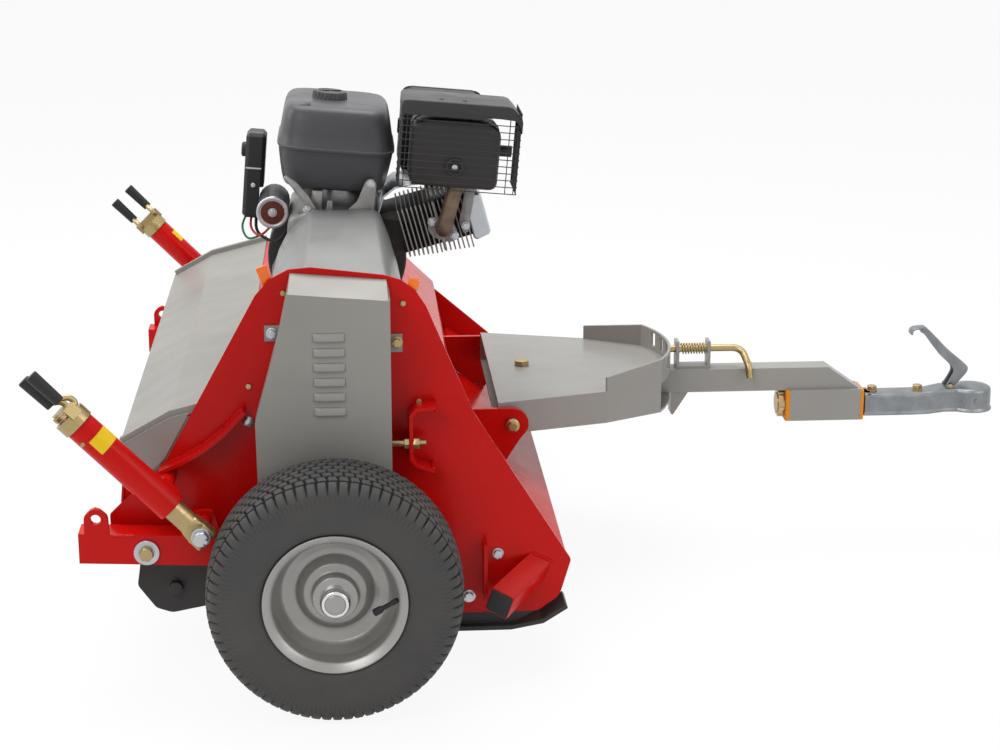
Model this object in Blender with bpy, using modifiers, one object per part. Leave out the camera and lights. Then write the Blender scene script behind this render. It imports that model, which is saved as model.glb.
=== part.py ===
"""Tow-behind brush mower: a flail deck on two wheels, with an engine on top and a drawbar in front.

Units are metres. +X points forwards to the coupler, +Y to the machine's left, +Z up.
Sizes are measured from the wheel axle's middle: x from the axle, y from the deck's middle
plane, z from the ground. The empty "mower" then puts the origin under the middle of the machine.
"""
import bpy
import bmesh
import numpy as np
from math import acos, atan2, cos, hypot, pi, radians, sin
from mathutils import Matrix, Vector

# Clearance between two pieces that touch
GAP = 0.0003
# Running clearance round a pin or shaft
RUN = 0.0004

# Where the axle lies behind the middle of the machine
AXLE_X = -0.396

# Deck: two end plates with a bent sheet between them
DECK_HALF = 0.622
PLATE = 0.005
SHEET = 0.004
DECK_TOP = 0.470
DECK_REAR = -0.352
DECK_FRONT = 0.236
NOSE_X = 0.391
NOSE_Z = 0.184

# Engine: its near side, its depth, the crankshaft's place and the engine's lean about it
ENGINE_NEAR = -0.330
ENGINE_DEPTH = 0.255
CRANK_X = 0.010
CRANK_Z = DECK_TOP + 0.115
CRANK_R = 0.0125
LEAN_DEG = 5.0
CASE_HIGH = 0.130
FIN_COUNT = 7
FIN_PITCH = 0.0185
FIN_THICK = 0.006
TANK_LONG = 0.205
TANK_WIDE = 0.290
TANK_HIGH = 0.145
TANK_SEAM = 0.073

# Belt drive and its stepped cover
DRIVE_PULLEY_R = 0.068
ROTOR_PULLEY_R = 0.055
IDLER_R = 0.026
IDLER_Z = 0.402
GROOVE = 0.010
BELT_WIDTH = 0.017
BELT_THICK = 0.008
BELT_OUT = 0.030
BELT_Y = -DECK_HALF - BELT_OUT
COVER_DEPTH = 0.065
COVER_WALL = 0.002
STEP_DEPTH = 0.046
STEP_HIGH = 0.350
STEP_LOW = 0.334
TENSION_OUT = 0.030

# Cutting rotor
ROTOR_X = -0.005
ROTOR_Z = 0.235
ROTOR_TUBE_R = 0.054
ROTOR_CLEAR = 0.032
ROTOR_HALF = DECK_HALF - PLATE - ROTOR_CLEAR
ROTOR_SHAFT_R = 0.0175
FLAIL_REACH = 0.150
FLAIL_WIDTH = 0.050
FLAIL_THICK = 0.010
FLAIL_COUNT = 14

# Rear roller
ROLLER_X = -0.262
ROLLER_Z = 0.157
ROLLER_R = 0.042
ROLLER_CLEAR = 0.027
ROLLER_HALF = DECK_HALF - PLATE - ROLLER_CLEAR
ROLLER_SHAFT_R = 0.012
HANGER = 0.008

# Skids
SKID_BOTTOM = 0.064
SKID_THICK = 0.008
SKID_WIDTH = 0.065

# Wheels: the tyre's size sets the axle's height and the place of the jack's yoke
TYRE_R = 0.204
TYRE_WIDTH = 0.165
TYRE_SIDES = 38
RIM_R = 0.1022
RIM_HALF = 0.073
RIM_SIDES = 18
AXLE_R = 0.0125
AXLE_Z = TYRE_R * cos(pi / TYRE_SIDES)

# Wheel arms: a box beam at the rear, and a flat bar between the belt cover and the tyre
YOKE_X = -TYRE_R - 0.005
YOKE_Z = 0.288
YOKE_PIN_R = 0.006
PIVOT_X = YOKE_X - 0.093
PIVOT_Z = 0.238
PIVOT_R = 0.010
PIVOT_BOSS_R = 0.018
ARM_OUT = 0.014
ARM_INNER = DECK_HALF + ARM_OUT
ARM_WIDTH = 0.050
ARM_DEPTH = 0.050
ARM_WALL = 0.005
ARM_REAR = PIVOT_X - 0.108
BEAM_END = -0.140
BAR_INNER = DECK_HALF + STEP_DEPTH + 0.0015
BAR_END = 0.035
TYRE_CLEAR = 0.0115
TRACK_HALF = ARM_INNER + ARM_WIDTH + TYRE_CLEAR + TYRE_WIDTH / 2

# Crank jacks: lengths along the jack are measured from its yoke pin.
# Each cross head stands turned about the jack by its own angle, right (-1) and left (1).
JACK_OUT = 0.062
JACK_Y = ARM_INNER + ARM_WIDTH + JACK_OUT
JACK_ANGLE = 45.5
JACK_TUBE_R = 0.024
JACK_WALL = 0.0035
JACK_START = 0.064
JACK_END = 0.259
JACK_PIVOT = 0.084
JACK_PIN_R = 0.008
SCREW_R = 0.009
SCREW_END = JACK_END - 0.078
CRANK_TURNS = {-1: 35.0, 1: 80.0}
HANDLE_APART = 0.021
HANDLE_R = 0.0045
GRIP_R = 0.0115
GRIP_START = JACK_END + 0.050
GRIP_END = GRIP_START + 0.058

# Hitch and A-frame: the tongue lies between the frame's two plates
EAR_INNER = 0.256
EAR_THICK = 0.010
EAR_NOSE = 0.030
FRAME_TOP = 0.350
FRAME_PLATE = 0.005
HITCH_X = 0.320
HITCH_Z = FRAME_TOP - 0.038
HITCH_PIN_R = 0.008
FRAME_REAR = HITCH_X - 0.025
FRAME_REAR_HALF = EAR_INNER - 0.0005
FRAME_SHOULDER = (0.500, 0.195)
SWING_X = HITCH_X + 0.038
SWING_R = 0.008
INDEX_R = 0.280
INDEX_HIGH = FRAME_TOP + 0.042
INDEX_STEP = 9.0
INDEX_HALF_ARC = 28.0

# Drawbar tongue
TONGUE = 0.045
TONGUE_WALL = 0.004
TONGUE_REAR = SWING_X - 0.023
HOUSING_REAR = 0.877
HOUSING_FRONT = HOUSING_REAR + 0.140
HOUSING = 0.060
SLOPE_START = HOUSING_REAR + 0.074
SWIVEL_R = 0.020
BUSH_WALL = 0.0032

# Index pin, its bracket and its spring
PIN_R = 0.0065
PIN_Z = FRAME_TOP + 0.027
BRACKET_REAR = SWING_X + INDEX_R + 0.017
BRACKET_FRONT = BRACKET_REAR + 0.0605
BRACKET_THICK = 0.006
PIN_END = BRACKET_FRONT + 0.0595
SPRING_R = 0.0098
SPRING_WIRE = 0.0012
SPRING_CURLS = 9
SPRING_CURL_POINTS = 8

# Coupler
COUPLER_REAR = HOUSING_FRONT + 0.0055
COUPLER_WIDTH = 0.056
COUPLER_HIGH = 0.044
COUPLER_WALL = 0.0035
HEAD_X = COUPLER_REAR + 0.2175
HEAD_R = 0.041
BALL_R = 0.0255
LEVER_X = HEAD_X - 0.046
LEVER_RISE = 0.0082
LEVER_THICK = 0.003

# Sides of round shapes
ROUND = 22
SMALL = 12

for old in list(bpy.data.objects):
    bpy.data.objects.remove(old, do_unlink=True)

parts = bpy.data.collections.new("brush_mower")
cutters = bpy.data.collections.new("cutters")
for group in (parts, cutters):
    bpy.context.scene.collection.children.link(group)


def paint(name, colour, roughness, metallic):
    """A Principled material from one colour."""
    made = bpy.data.materials.new(name)
    made.use_nodes = True
    shader = made.node_tree.nodes["Principled BSDF"]
    shader.inputs["Base Color"].default_value = (*colour, 1.0)
    shader.inputs["Roughness"].default_value = roughness
    shader.inputs["Metallic"].default_value = metallic
    made.diffuse_color = (*colour, 1.0)
    return made


RED = paint("red_paint", (0.48, 0.010, 0.006), 0.3, 0.0)
GREY = paint("grey_paint", (0.30, 0.29, 0.27), 0.4, 0.0)
BLACK = paint("black_paint", (0.02, 0.02, 0.022), 0.45, 0.0)
PLASTIC = paint("black_plastic", (0.035, 0.035, 0.042), 0.5, 0.0)
RUBBER = paint("tyre_rubber", (0.03, 0.03, 0.03), 0.8, 0.0)
RIM = paint("rim_silver", (0.42, 0.41, 0.40), 0.35, 0.3)
ZINC = paint("bright_zinc", (0.45, 0.50, 0.54), 0.3, 0.9)
YELLOW_ZINC = paint("yellow_zinc", (0.60, 0.48, 0.22), 0.3, 0.9)
CAST = paint("cast_aluminium", (0.50, 0.49, 0.47), 0.45, 0.7)
STEEL = paint("turned_steel", (0.45, 0.45, 0.45), 0.35, 0.9)
ORANGE = paint("orange_nylon", (0.70, 0.25, 0.02), 0.5, 0.0)
BELT = paint("belt_rubber", (0.02, 0.02, 0.02), 0.8, 0.0)

mower = bpy.data.objects.new("mower", None)
mower.location = (AXLE_X, 0.0, 0.0)
parts.objects.link(mower)
anchors = {mower.name: Vector((0.0, 0.0, 0.0))}


def pivot(name, point, carrier=mower):
    """An empty on a joint's axis, carried by the mower or by another joint's empty."""
    empty = bpy.data.objects.new(name, None)
    empty.location = point
    empty.parent = carrier
    empty.matrix_parent_inverse = Matrix.Translation(-anchors[carrier.name])
    parts.objects.link(empty)
    anchors[empty.name] = Vector(point)
    return empty


def hang(item, carrier):
    item.parent = carrier
    item.matrix_parent_inverse = Matrix.Translation(-anchors[carrier.name])


def tool(mesh):
    """A hidden body that a Boolean adds or takes away."""
    made = bpy.data.objects.new("tool", mesh)
    cutters.objects.link(made)
    made.hide_render = True
    made.display_type = "WIRE"
    hang(made, mower)
    return made


def piece(name, mesh, finish, carrier=mower, joins=(), cuts=()):
    """A named part from its mesh, with shapes welded on and shapes cut away."""
    mesh.name = name
    mesh.materials.clear()
    mesh.materials.append(finish)
    made = bpy.data.objects.new(name, mesh)
    parts.objects.link(made)
    hang(made, carrier)
    for shape in joins:
        weld(made, shape)
    for shape in cuts:
        weld(made, shape, "DIFFERENCE")
    return made


def weld(made, shape, operation="UNION"):
    step = made.modifiers.new(operation.lower(), "BOOLEAN")
    step.operation = operation
    step.solver = "EXACT"
    step.object = tool(shape)


def tidy(shape, smooth=True):
    """Weld doubles, turn faces outwards and finish a bmesh as a mesh."""
    bmesh.ops.remove_doubles(shape, verts=shape.verts, dist=0.00001)
    bmesh.ops.recalc_face_normals(shape, faces=shape.faces)
    mesh = bpy.data.meshes.new("shape")
    shape.to_mesh(mesh)
    shape.free()
    if smooth:
        mesh.shade_smooth()
        mesh.set_sharp_from_angle(angle=radians(35))
    return mesh


def baked(item):
    """The evaluated mesh of a helper object, which is then removed."""
    bpy.context.view_layer.update()
    graph = bpy.context.evaluated_depsgraph_get()
    mesh = bpy.data.meshes.new_from_object(item.evaluated_get(graph))
    mesh.transform(item.matrix_world)
    data = item.data
    bpy.data.objects.remove(item, do_unlink=True)
    if isinstance(data, bpy.types.Mesh):
        bpy.data.meshes.remove(data)
    shape = bmesh.new()
    shape.from_mesh(mesh)
    bpy.data.meshes.remove(mesh)
    return tidy(shape)


def box(low, high, round_edge=0.0, steps=2):
    shape = bmesh.new()
    bmesh.ops.create_cube(shape, size=1.0)
    low, high = Vector(low), Vector(high)
    scale = Matrix.Diagonal((*(high - low), 1.0))
    bmesh.ops.transform(shape, matrix=Matrix.Translation((low + high) / 2) @ scale, verts=shape.verts)
    if round_edge:
        bmesh.ops.bevel(shape, geom=shape.edges, offset=round_edge, segments=steps, affect="EDGES", profile=0.5)
    return tidy(shape)


def bar(start, end, radius, sides=SMALL, end_radius=None):
    """A round bar, or a cone, from one point to another."""
    start, end = Vector(start), Vector(end)
    along = end - start
    shape = bmesh.new()
    bmesh.ops.create_cone(shape, cap_ends=True, segments=sides, radius1=radius,
                          radius2=radius if end_radius is None else end_radius, depth=along.length)
    turn = Vector((0, 0, 1)).rotation_difference(along).to_matrix().to_4x4()
    bmesh.ops.transform(shape, matrix=Matrix.Translation((start + end) / 2) @ turn, verts=shape.verts)
    return tidy(shape)


def span(side, inner, outer):
    """The low and high y of a stretch on the right (-1) or left (+1) side."""
    return (inner, outer) if side > 0 else (-outer, -inner)


def cross_bar(x, z, side, inner, outer, radius, sides=SMALL):
    low, high = span(side, inner, outer)
    return bar((x, low, z), (x, high, z), radius, sides)


def block(x, z, side, inner, outer):
    """A box from (low, high) pairs of x and z, between two distances from the middle."""
    low, high = span(side, inner, outer)
    return box((x[0], low, z[0]), (x[1], high, z[1]))


def circle(a, b, radius, count=SMALL):
    return [(a + radius * cos(2 * pi * i / count), b + radius * sin(2 * pi * i / count)) for i in range(count)]


def arc(a, b, radius, first, last, steps):
    """Points on an arc, angles in degrees."""
    turns = [radians(first + (last - first) * i / steps) for i in range(steps + 1)]
    return [(a + radius * cos(turn), b + radius * sin(turn)) for turn in turns]


def rounded(corners, steps=4):
    """An outline whose corners (a, b, radius) are turned into arcs."""
    points = []
    for i, (a, b, radius) in enumerate(corners):
        corner = Vector((a, b))
        before = Vector(corners[i - 1][:2]) - corner
        after = Vector(corners[(i + 1) % len(corners)][:2]) - corner
        if not radius:
            points.append((a, b))
            continue
        half = before.angle(after) / 2
        reach = radius / np.tan(half)
        middle = corner + (before.normalized() + after.normalized()).normalized() * radius / sin(half)
        start = corner + before.normalized() * reach - middle
        end = corner + after.normalized() * reach - middle
        sweep = start.angle_signed(end)
        first = atan2(start.y, start.x)
        for k in range(steps + 1):
            turn = first - sweep * k / steps
            points.append((middle.x + radius * cos(turn), middle.y + radius * sin(turn)))
    return points


def ribbon(points, thickness):
    """The outline of a bent strip: the points, and the same line moved to its right."""
    line = [Vector(point) for point in points]
    ways = [(b - a).normalized() for a, b in zip(line, line[1:])]
    ways = [ways[0]] + ways + [ways[-1]]
    moved = []
    for i, point in enumerate(line):
        sides = [Vector((way.y, -way.x)) for way in (ways[i], ways[i + 1])]
        middle = (sides[0] + sides[1]).normalized()
        moved.append(point + middle * thickness / middle.dot(sides[0]))
    return [tuple(point) for point in line + moved[::-1]]


TURNS = {
    "X": Matrix(((0, 0, 1, 0), (1, 0, 0, 0), (0, 1, 0, 0), (0, 0, 0, 1))),
    "Y": Matrix(((1, 0, 0, 0), (0, 0, -1, 0), (0, 1, 0, 0), (0, 0, 0, 1))),
    "Z": Matrix.Identity(4),
}


def flat(outline, low, high, across="Y", holes=()):
    """A flat outline spread from low to high across one axis.

    The outline's two numbers are y and z across X, x and z across Y, and x and y across Z.
    """
    curve = bpy.data.curves.new("outline", "CURVE")
    curve.dimensions = "2D"
    curve.fill_mode = "BOTH"
    curve.extrude = (high - low) / 2
    for ring in (outline, *holes):
        line = curve.splines.new("POLY")
        line.points.add(len(ring) - 1)
        line.use_cyclic_u = True
        for spot, (a, b) in zip(line.points, ring):
            spot.co = (a, b, 0.0, 1.0)
    item = bpy.data.objects.new("outline", curve)
    cutters.objects.link(item)
    middle = (low + high) / 2
    shift = {"X": (middle, 0, 0), "Y": (0, middle, 0), "Z": (0, 0, middle)}[across]
    item.matrix_world = Matrix.Translation(shift) @ TURNS[across]
    return baked(item)


def turned(profile, place, sides=ROUND, closed=False):
    """A turned shape from (radius, height) points, top to bottom, put in place by a matrix."""
    mesh = bpy.data.meshes.new("profile")
    points = [(radius, 0.0, height) for radius, height in profile]
    edges = [(i, i + 1) for i in range(len(points) - 1)]
    if closed:
        edges.append((len(points) - 1, 0))
    mesh.from_pydata(points, edges, [])
    item = bpy.data.objects.new("profile", mesh)
    cutters.objects.link(item)
    screw = item.modifiers.new("screw", "SCREW")
    screw.steps = sides
    screw.render_steps = sides
    screw.use_merge_vertices = True
    screw.merge_threshold = 0.00001
    item.matrix_world = place
    return baked(item)


def along_y(x, y, z, side):
    """A matrix that turns a shape's own height to point outwards on one side."""
    return Matrix.Translation((x, y, z)) @ Matrix.Rotation(-side * pi / 2, 4, "X")


def wire(points, radius, resolution=2):
    """A round wire through the points."""
    curve = bpy.data.curves.new("wire", "CURVE")
    curve.dimensions = "3D"
    curve.bevel_depth = radius
    curve.bevel_resolution = resolution
    curve.use_fill_caps = True
    line = curve.splines.new("POLY")
    line.points.add(len(points) - 1)
    for spot, point in zip(line.points, points):
        spot.co = (*point, 1.0)
    item = bpy.data.objects.new("wire", curve)
    cutters.objects.link(item)
    return baked(item)


def bent(corners, radius, steps=4):
    """A polyline's corners rounded with arcs, for a bent bar."""
    line = [Vector(corner) for corner in corners]
    points = [line[0]]
    for before, corner, after in zip(line, line[1:], line[2:]):
        first, last = (before - corner).normalized(), (after - corner).normalized()
        half = first.angle(last) / 2
        reach = min(radius / np.tan(half), (before - corner).length / 2, (after - corner).length / 2)
        start, end = corner + first * reach, corner + last * reach
        for i in range(steps + 1):
            t = i / steps
            points.append(start * (1 - t) ** 2 + corner * 2 * t * (1 - t) + end * t ** 2)
    return points + [line[-1]]


# Corners that several pieces share, as (x, z)
REAR_BEND = (DECK_REAR + 0.014, DECK_TOP - 0.072)
REAR_SHOULDER = (DECK_REAR + 0.090, DECK_TOP - 0.030)
TOP_REAR = (-0.145, DECK_TOP)
TOP_FRONT = (DECK_FRONT - 0.136, DECK_TOP)
FRONT_BEND = (DECK_FRONT - 0.079, DECK_TOP - 0.042)
WALL_TOP = (DECK_FRONT - 0.023, DECK_TOP - 0.096)
WALL_FOOT = (DECK_FRONT, 0.262)
PLATE_FOOT = SKID_BOTTOM + SKID_THICK + 0.022
APRON_REAR = (DECK_FRONT + 0.0025, 0.272)
APRON_FRONT = (NOSE_X - 0.006, NOSE_Z + 0.003)


def apron_z(x):
    """Height of the apron's upper face."""
    share = (x - APRON_REAR[0]) / (APRON_FRONT[0] - APRON_REAR[0])
    return APRON_REAR[1] + share * (APRON_FRONT[1] - APRON_REAR[1])


def wall_x(z):
    """Front face of the deck's front wall at a height."""
    share = (WALL_TOP[1] - z) / (WALL_TOP[1] - WALL_FOOT[1])
    return WALL_TOP[0] + share * (WALL_FOOT[0] - WALL_TOP[0])


def side_plates():
    """The thin end plates of the deck: a tall arch on the belt side, low on the other."""
    edge = DECK_REAR - 0.013
    rear = [(edge, 0.225, 0.006), (edge, 0.282, 0.006), (edge + 0.047, 0.328, 0.02),
            (edge + 0.089, 0.362, 0.01)]
    arch = [(CRANK_X - 0.101, CRANK_Z + 0.110, 0.09), (CRANK_X + 0.124, CRANK_Z + 0.083, 0.085),
            (DECK_FRONT - 0.007, DECK_TOP - 0.027, 0.0)]
    low_top = [(edge + 0.139, DECK_TOP - 0.020, 0.02), (TOP_FRONT[0] + 0.005, DECK_TOP - 0.020, 0.02),
               (WALL_TOP[0], WALL_TOP[1] - 0.014, 0.0), (NOSE_X - 0.058, 0.257, 0.0)]
    front = [(NOSE_X, NOSE_Z, 0.008), (NOSE_X - 0.019, 0.120, 0.03), (NOSE_X - 0.056, PLATE_FOOT, 0.02)]
    foot = [(-0.170, PLATE_FOOT, 0.01), (-0.200, 0.182, 0.02)]
    for name, side, top in (("side_plate_right", -1, arch), ("side_plate_left", 1, low_top)):
        holes = [circle(ROTOR_X, ROTOR_Z, ROTOR_SHAFT_R + 0.001, ROUND)]
        if side < 0:
            holes.append(circle(CRANK_X, CRANK_Z, CRANK_R + 0.012))
        low, high = span(side, DECK_HALF - PLATE, DECK_HALF)
        sheet = flat(rounded(rear + top + front + foot, 3), low, high, "Y", holes)
        inside = DECK_HALF - PLATE / 2
        arm_face = ARM_INNER + ARM_WIDTH
        jack_x, jack_z = on_jack(JACK_PIVOT)
        rib = [(-0.281, 0.364), (-0.245, 0.379), (-0.210, 0.399), (-0.175, 0.427), (-0.143, DECK_TOP - 0.008)]
        root = [(0.3251, 0.1980), (0.3587, 0.1813), (0.3456, 0.1483), (0.3120, 0.1650)]
        tip = [(0.2557, 0.1610), (0.2905, 0.1405), (0.2777, 0.1055), (0.2430, 0.1260)]
        joins = [
            cross_bar(PIVOT_X, PIVOT_Z, side, inside, arm_face + 0.012, PIVOT_R),
            cross_bar(PIVOT_X, PIVOT_Z, side, arm_face + GAP, arm_face + 0.004, 0.020),
            cross_bar(PIVOT_X, PIVOT_Z, side, inside, ARM_INNER - GAP, PIVOT_BOSS_R),
            cross_bar(jack_x, jack_z, side, inside, JACK_Y - JACK_TUBE_R - 0.002, JACK_PIN_R),
            cross_bar(jack_x, jack_z, side, inside, JACK_Y - JACK_TUBE_R - 0.022, 0.014),
            flat(ribbon(rib, 0.006), *span(side, inside, DECK_HALF + 0.035)),
            block((0.244, 0.250), (0.125, 0.222), side, inside, DECK_HALF + 0.030),
            slanted(root, side * inside, tip, side * (DECK_HALF + 0.063)),
        ]
        piece(name, sheet, RED, joins=joins)


def deck():
    """The bent top and rear of the deck, its sloped front apron and the grey rear hood."""
    half = DECK_HALF - PLATE - GAP
    line = [(DECK_REAR, 0.245), REAR_BEND, REAR_SHOULDER, TOP_REAR, TOP_FRONT, FRONT_BEND, WALL_TOP, WALL_FOOT]
    piece("deck_shell", flat(ribbon(line, SHEET), -half, half), RED)
    piece("front_apron", flat(ribbon([APRON_REAR, APRON_FRONT], SHEET), -half, half), RED)

    wall, lip = 0.003, 0.012
    foot = Vector(REAR_SHOULDER).lerp(Vector(REAR_BEND), 1.07)
    lid = [tuple(foot), REAR_SHOULDER, TOP_REAR]
    top = ribbon(lid, -wall - GAP)[len(lid):][::-1]
    wide = DECK_HALF - 0.0015
    edge_x = REAR_SHOULDER[0] + 0.0305
    cheek = [(top[0][0], top[0][1] - 0.002), (REAR_SHOULDER[0], REAR_SHOULDER[1] + 0.0015),
             (edge_x - 0.0015, REAR_SHOULDER[1] + 0.0075), (edge_x - 0.0425, REAR_SHOULDER[1] - 0.067),
             (edge_x - 0.0685, REAR_SHOULDER[1] - 0.090)]
    raised = [(a, b + lip - 0.002) for a, b in top]
    joins, cuts = [], []
    for side in (-1, 1):
        joins.append(flat(cheek, *span(side, DECK_HALF - PLATE + 0.0005, wide - GAP)))
        joins.append(flat(ribbon(raised, lip), *span(side, half - 0.014, half - 0.002)))
        cuts.append(block((edge_x, edge_x + 0.3), (DECK_TOP - 0.2, DECK_TOP + 0.1), side, half, wide + 0.01))
    piece("rear_hood", flat(ribbon(top, wall), -wide, wide), GREY, joins=joins, cuts=cuts)


def slanted(root, root_y, tip, tip_y):
    """A square tube's outside that leans between two (x, z) outlines."""
    shape = bmesh.new()
    rings = [[shape.verts.new((a, y, b)) for a, b in ring] for ring, y in ((root, root_y), (tip, tip_y))]
    for i in range(len(root)):
        k = (i + 1) % len(root)
        shape.faces.new((rings[0][i], rings[0][k], rings[1][k], rings[1][i]))
    for ring in rings:
        shape.faces.new(ring)
    return tidy(shape)


def hitch_ears():
    """Two welded ears on the deck's front wall, each with the pin that the A-frame tips on."""
    top = HITCH_Z + EAR_NOSE
    outline = [(wall_x(0.275) + GAP * 2, apron_z(wall_x(0.275)) + 0.0012), (wall_x(top) + GAP * 2, top)]
    outline += arc(HITCH_X, HITCH_Z, EAR_NOSE, 90, -20, 6)
    outline += [(HITCH_X + 0.014, HITCH_Z - 0.028), (HITCH_X - 0.017, apron_z(HITCH_X - 0.017) + 0.0008)]
    for name, side in (("hitch_ear_right", -1), ("hitch_ear_left", 1)):
        low, high = span(side, EAR_INNER, EAR_INNER + EAR_THICK)
        hole = [circle(HITCH_X, HITCH_Z, HITCH_PIN_R + RUN)]
        piece(name, flat(outline, low, high, "Y", hole), RED)
    for name, side in (("hitch_pin_right", -1), ("hitch_pin_left", 1)):
        outer = EAR_INNER + EAR_THICK
        shank = cross_bar(HITCH_X, HITCH_Z, side, EAR_INNER - 0.030, outer + 0.016, HITCH_PIN_R)
        head = cross_bar(HITCH_X, HITCH_Z, side, outer + GAP, outer + 0.008, 0.013)
        piece(name, shank, YELLOW_ZINC, joins=[head])


ENGINE_LEAN = (Matrix.Translation((CRANK_X, 0.0, CRANK_Z)) @ Matrix.Rotation(radians(LEAN_DEG), 4, "Y")
               @ Matrix.Translation((-CRANK_X, 0.0, -CRANK_Z)))


def leaned(name, mesh, finish, carrier=mower, joins=(), cuts=()):
    """A piece of the engine, which tips nose-down about its crankshaft."""
    for shape in (mesh, *joins, *cuts):
        shape.transform(ENGINE_LEAN)
    return piece(name, mesh, finish, carrier, joins, cuts)


def engine():
    """A single-cylinder engine with its tank, silencer, air cleaner, starter and control box."""
    x, z, near, far = CRANK_X, CRANK_Z, ENGINE_NEAR, ENGINE_NEAR + ENGINE_DEPTH
    foot, top = DECK_TOP + GAP, CRANK_Z + CASE_HIGH
    under = foot - 0.016
    case = [(x - 0.120, under), (x + 0.110, under), (x + 0.115, z - 0.025), (x + 0.090, z + 0.055),
            (x + 0.065, top), (x - 0.060, top), (x - 0.0922, top - 0.015), (x - 0.0922, z + 0.015),
            (x - 0.115, z - 0.025)]
    level = box((x - 0.2, near - 0.05, foot - 0.1), (x + 0.2, far + 0.2, foot))
    tilt = radians(20)
    along, up = Vector((cos(tilt), sin(tilt))), Vector((-sin(tilt), cos(tilt)))
    barrel = Vector((x + 0.066, z + 0.079))
    core, reach, start, inset = 0.036, 0.045, 0.045, 0.045
    end = start + (FIN_COUNT - 1) * FIN_PITCH + FIN_THICK
    finned = [box((0.0, near + inset + 0.008, -core), (end, far - inset - 0.008, core))]
    for i in range(FIN_COUNT):
        low = start + i * FIN_PITCH
        over = 0.0005 if i == FIN_COUNT - 1 else 0.0
        hang_down = reach + i * 0.0025
        finned.append(box((low, near + inset, -hang_down), (low + FIN_THICK + over, far - inset, reach)))
    for shape in finned:
        shape.transform(Matrix.Translation((barrel.x, 0.0, barrel.y)) @ Matrix.Rotation(-tilt, 4, "Y"))
    tank_foot = top + 0.033
    posts = [box((x + a - 0.010, near + b, top - 0.004), (x + a + 0.010, near + b + 0.020, tank_foot - GAP))
             for a in (-0.045, 0.045) for b in (0.030, ENGINE_DEPTH - 0.050)]
    made = leaned("engine_block", flat(case, near, far), CAST, joins=finned + posts)
    weld(made, level.copy(), "DIFFERENCE")

    head_at = barrel + along * (end + 0.0005 + GAP)
    cover = [head_at + up * 0.036, head_at - up * 0.050, head_at - up * 0.044 + along * 0.032,
             head_at + up * 0.030 + along * 0.032]
    lid = flat(rounded([(*p, 0.006) for p in cover], 2), near + 0.060, far - 0.060)
    leaned("rocker_cover", lid, ZINC)

    fan_y, fan_r, fan_depth = far + GAP, 0.128, 0.135
    shroud = turned([(0.0, fan_depth), (0.080, fan_depth), (fan_r - 0.006, 0.118), (fan_r, 0.095), (fan_r, 0.0),
                     (0.0, 0.0)], along_y(x, fan_y, z, 1), ROUND)
    made = leaned("recoil_housing", shroud, PLASTIC)
    level.transform(Matrix.Translation((0.0, 0.0, 0.004)))
    weld(made, level, "DIFFERENCE")
    tank_x = x - 0.018
    tank(tank_x, near + 0.155, tank_foot)

    mute_low, mute_high = (x + 0.108, near - 0.012, z + 0.190), (x + 0.262, near + 0.100, z + 0.310)
    silencer = box(mute_low, mute_high, 0.014, 2)
    port = (x + 0.177, near + inset - GAP, z + 0.110)
    elbow = wire(bent([(port[0], port[1] - 0.003, port[2]), (port[0], port[1] - 0.030, port[2]),
                       (port[0] + 0.018, port[1] - 0.026, mute_low[2] + 0.012)], 0.022), 0.0125, 2)
    flange = bar(port, (port[0], port[1] - 0.006, port[2]), 0.021)
    outlet_y, outlet_z = near + 0.030, z + 0.256
    outlet = bar((mute_high[0] - 0.008, outlet_y, outlet_z), (mute_high[0] + 0.022, outlet_y, outlet_z), 0.010)
    leaned("muffler", silencer, BLACK, joins=[elbow, flange, outlet])
    guard(mute_low, mute_high)

    side = far - inset + GAP
    cleaner = box((x + 0.099, side, z + 0.170), (x + 0.248, far + 0.120, z + 0.312), 0.018, 2)
    intake = box((x + 0.150, side, z + 0.080), (x + 0.190, far + 0.015, z + 0.190))
    leaned("air_cleaner", cleaner, PLASTIC, joins=[intake])

    motor_x, motor_z, motor_r = x - 0.120, z + 0.1163, 0.0275
    motor = turned([(0.0, 0.136), (0.020, 0.136), (0.025, 0.132), (motor_r, 0.124), (motor_r, 0.012),
                    (0.024, 0.0), (0.0, 0.0)], along_y(motor_x, near + 0.181, motor_z, -1), 20)
    leaned("starter_motor", motor, STEEL)
    box_near, box_far = near + 0.120, near + 0.185
    recess = box((motor_x - motor_r - GAP, box_near - 0.02, z + 0.015),
                 (x - 0.06, box_far + 0.015, motor_z + motor_r + GAP))
    controls = box((x - 0.175, box_near, z + 0.088), (x - 0.140, box_far, z + 0.239), 0.006, 1)
    leaned("control_box", controls, PLASTIC, cuts=[recess])

    lever_at = Vector((x + 0.065, fan_y + fan_depth + 0.0045, z + 0.083))
    throttle = pivot("throttle_turn", ENGINE_LEAN @ lever_at)
    arm = bar(lever_at, lever_at + Vector((0.028, 0.0, 0.044)), 0.0035, 8)
    hub = bar((lever_at.x, fan_y + fan_depth - 0.006, lever_at.z), (lever_at.x, lever_at.y + 0.003, lever_at.z),
              0.009)
    leaned("throttle_lever", hub, BLACK, throttle, joins=[arm])

    grip_at = Vector((x - 0.070, fan_y + fan_depth + 0.014, z + 0.077))
    rope_way = Vector((-0.6, 0.0, 0.8))
    cord = pivot("recoil_pull", ENGINE_LEAN @ grip_at)
    cross = Vector((0.8, 0.0, 0.6)) * 0.045
    grip = bar(grip_at - cross, grip_at + cross, 0.0105, 12)
    boss = bar(grip_at - Vector((0, 0.0207, 0)), grip_at, 0.006, 12)
    neck = bar(grip_at, grip_at + rope_way * 0.020, 0.007, 12)
    leaned("recoil_handle", grip, PLASTIC, cord, joins=[boss, neck])


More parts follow.
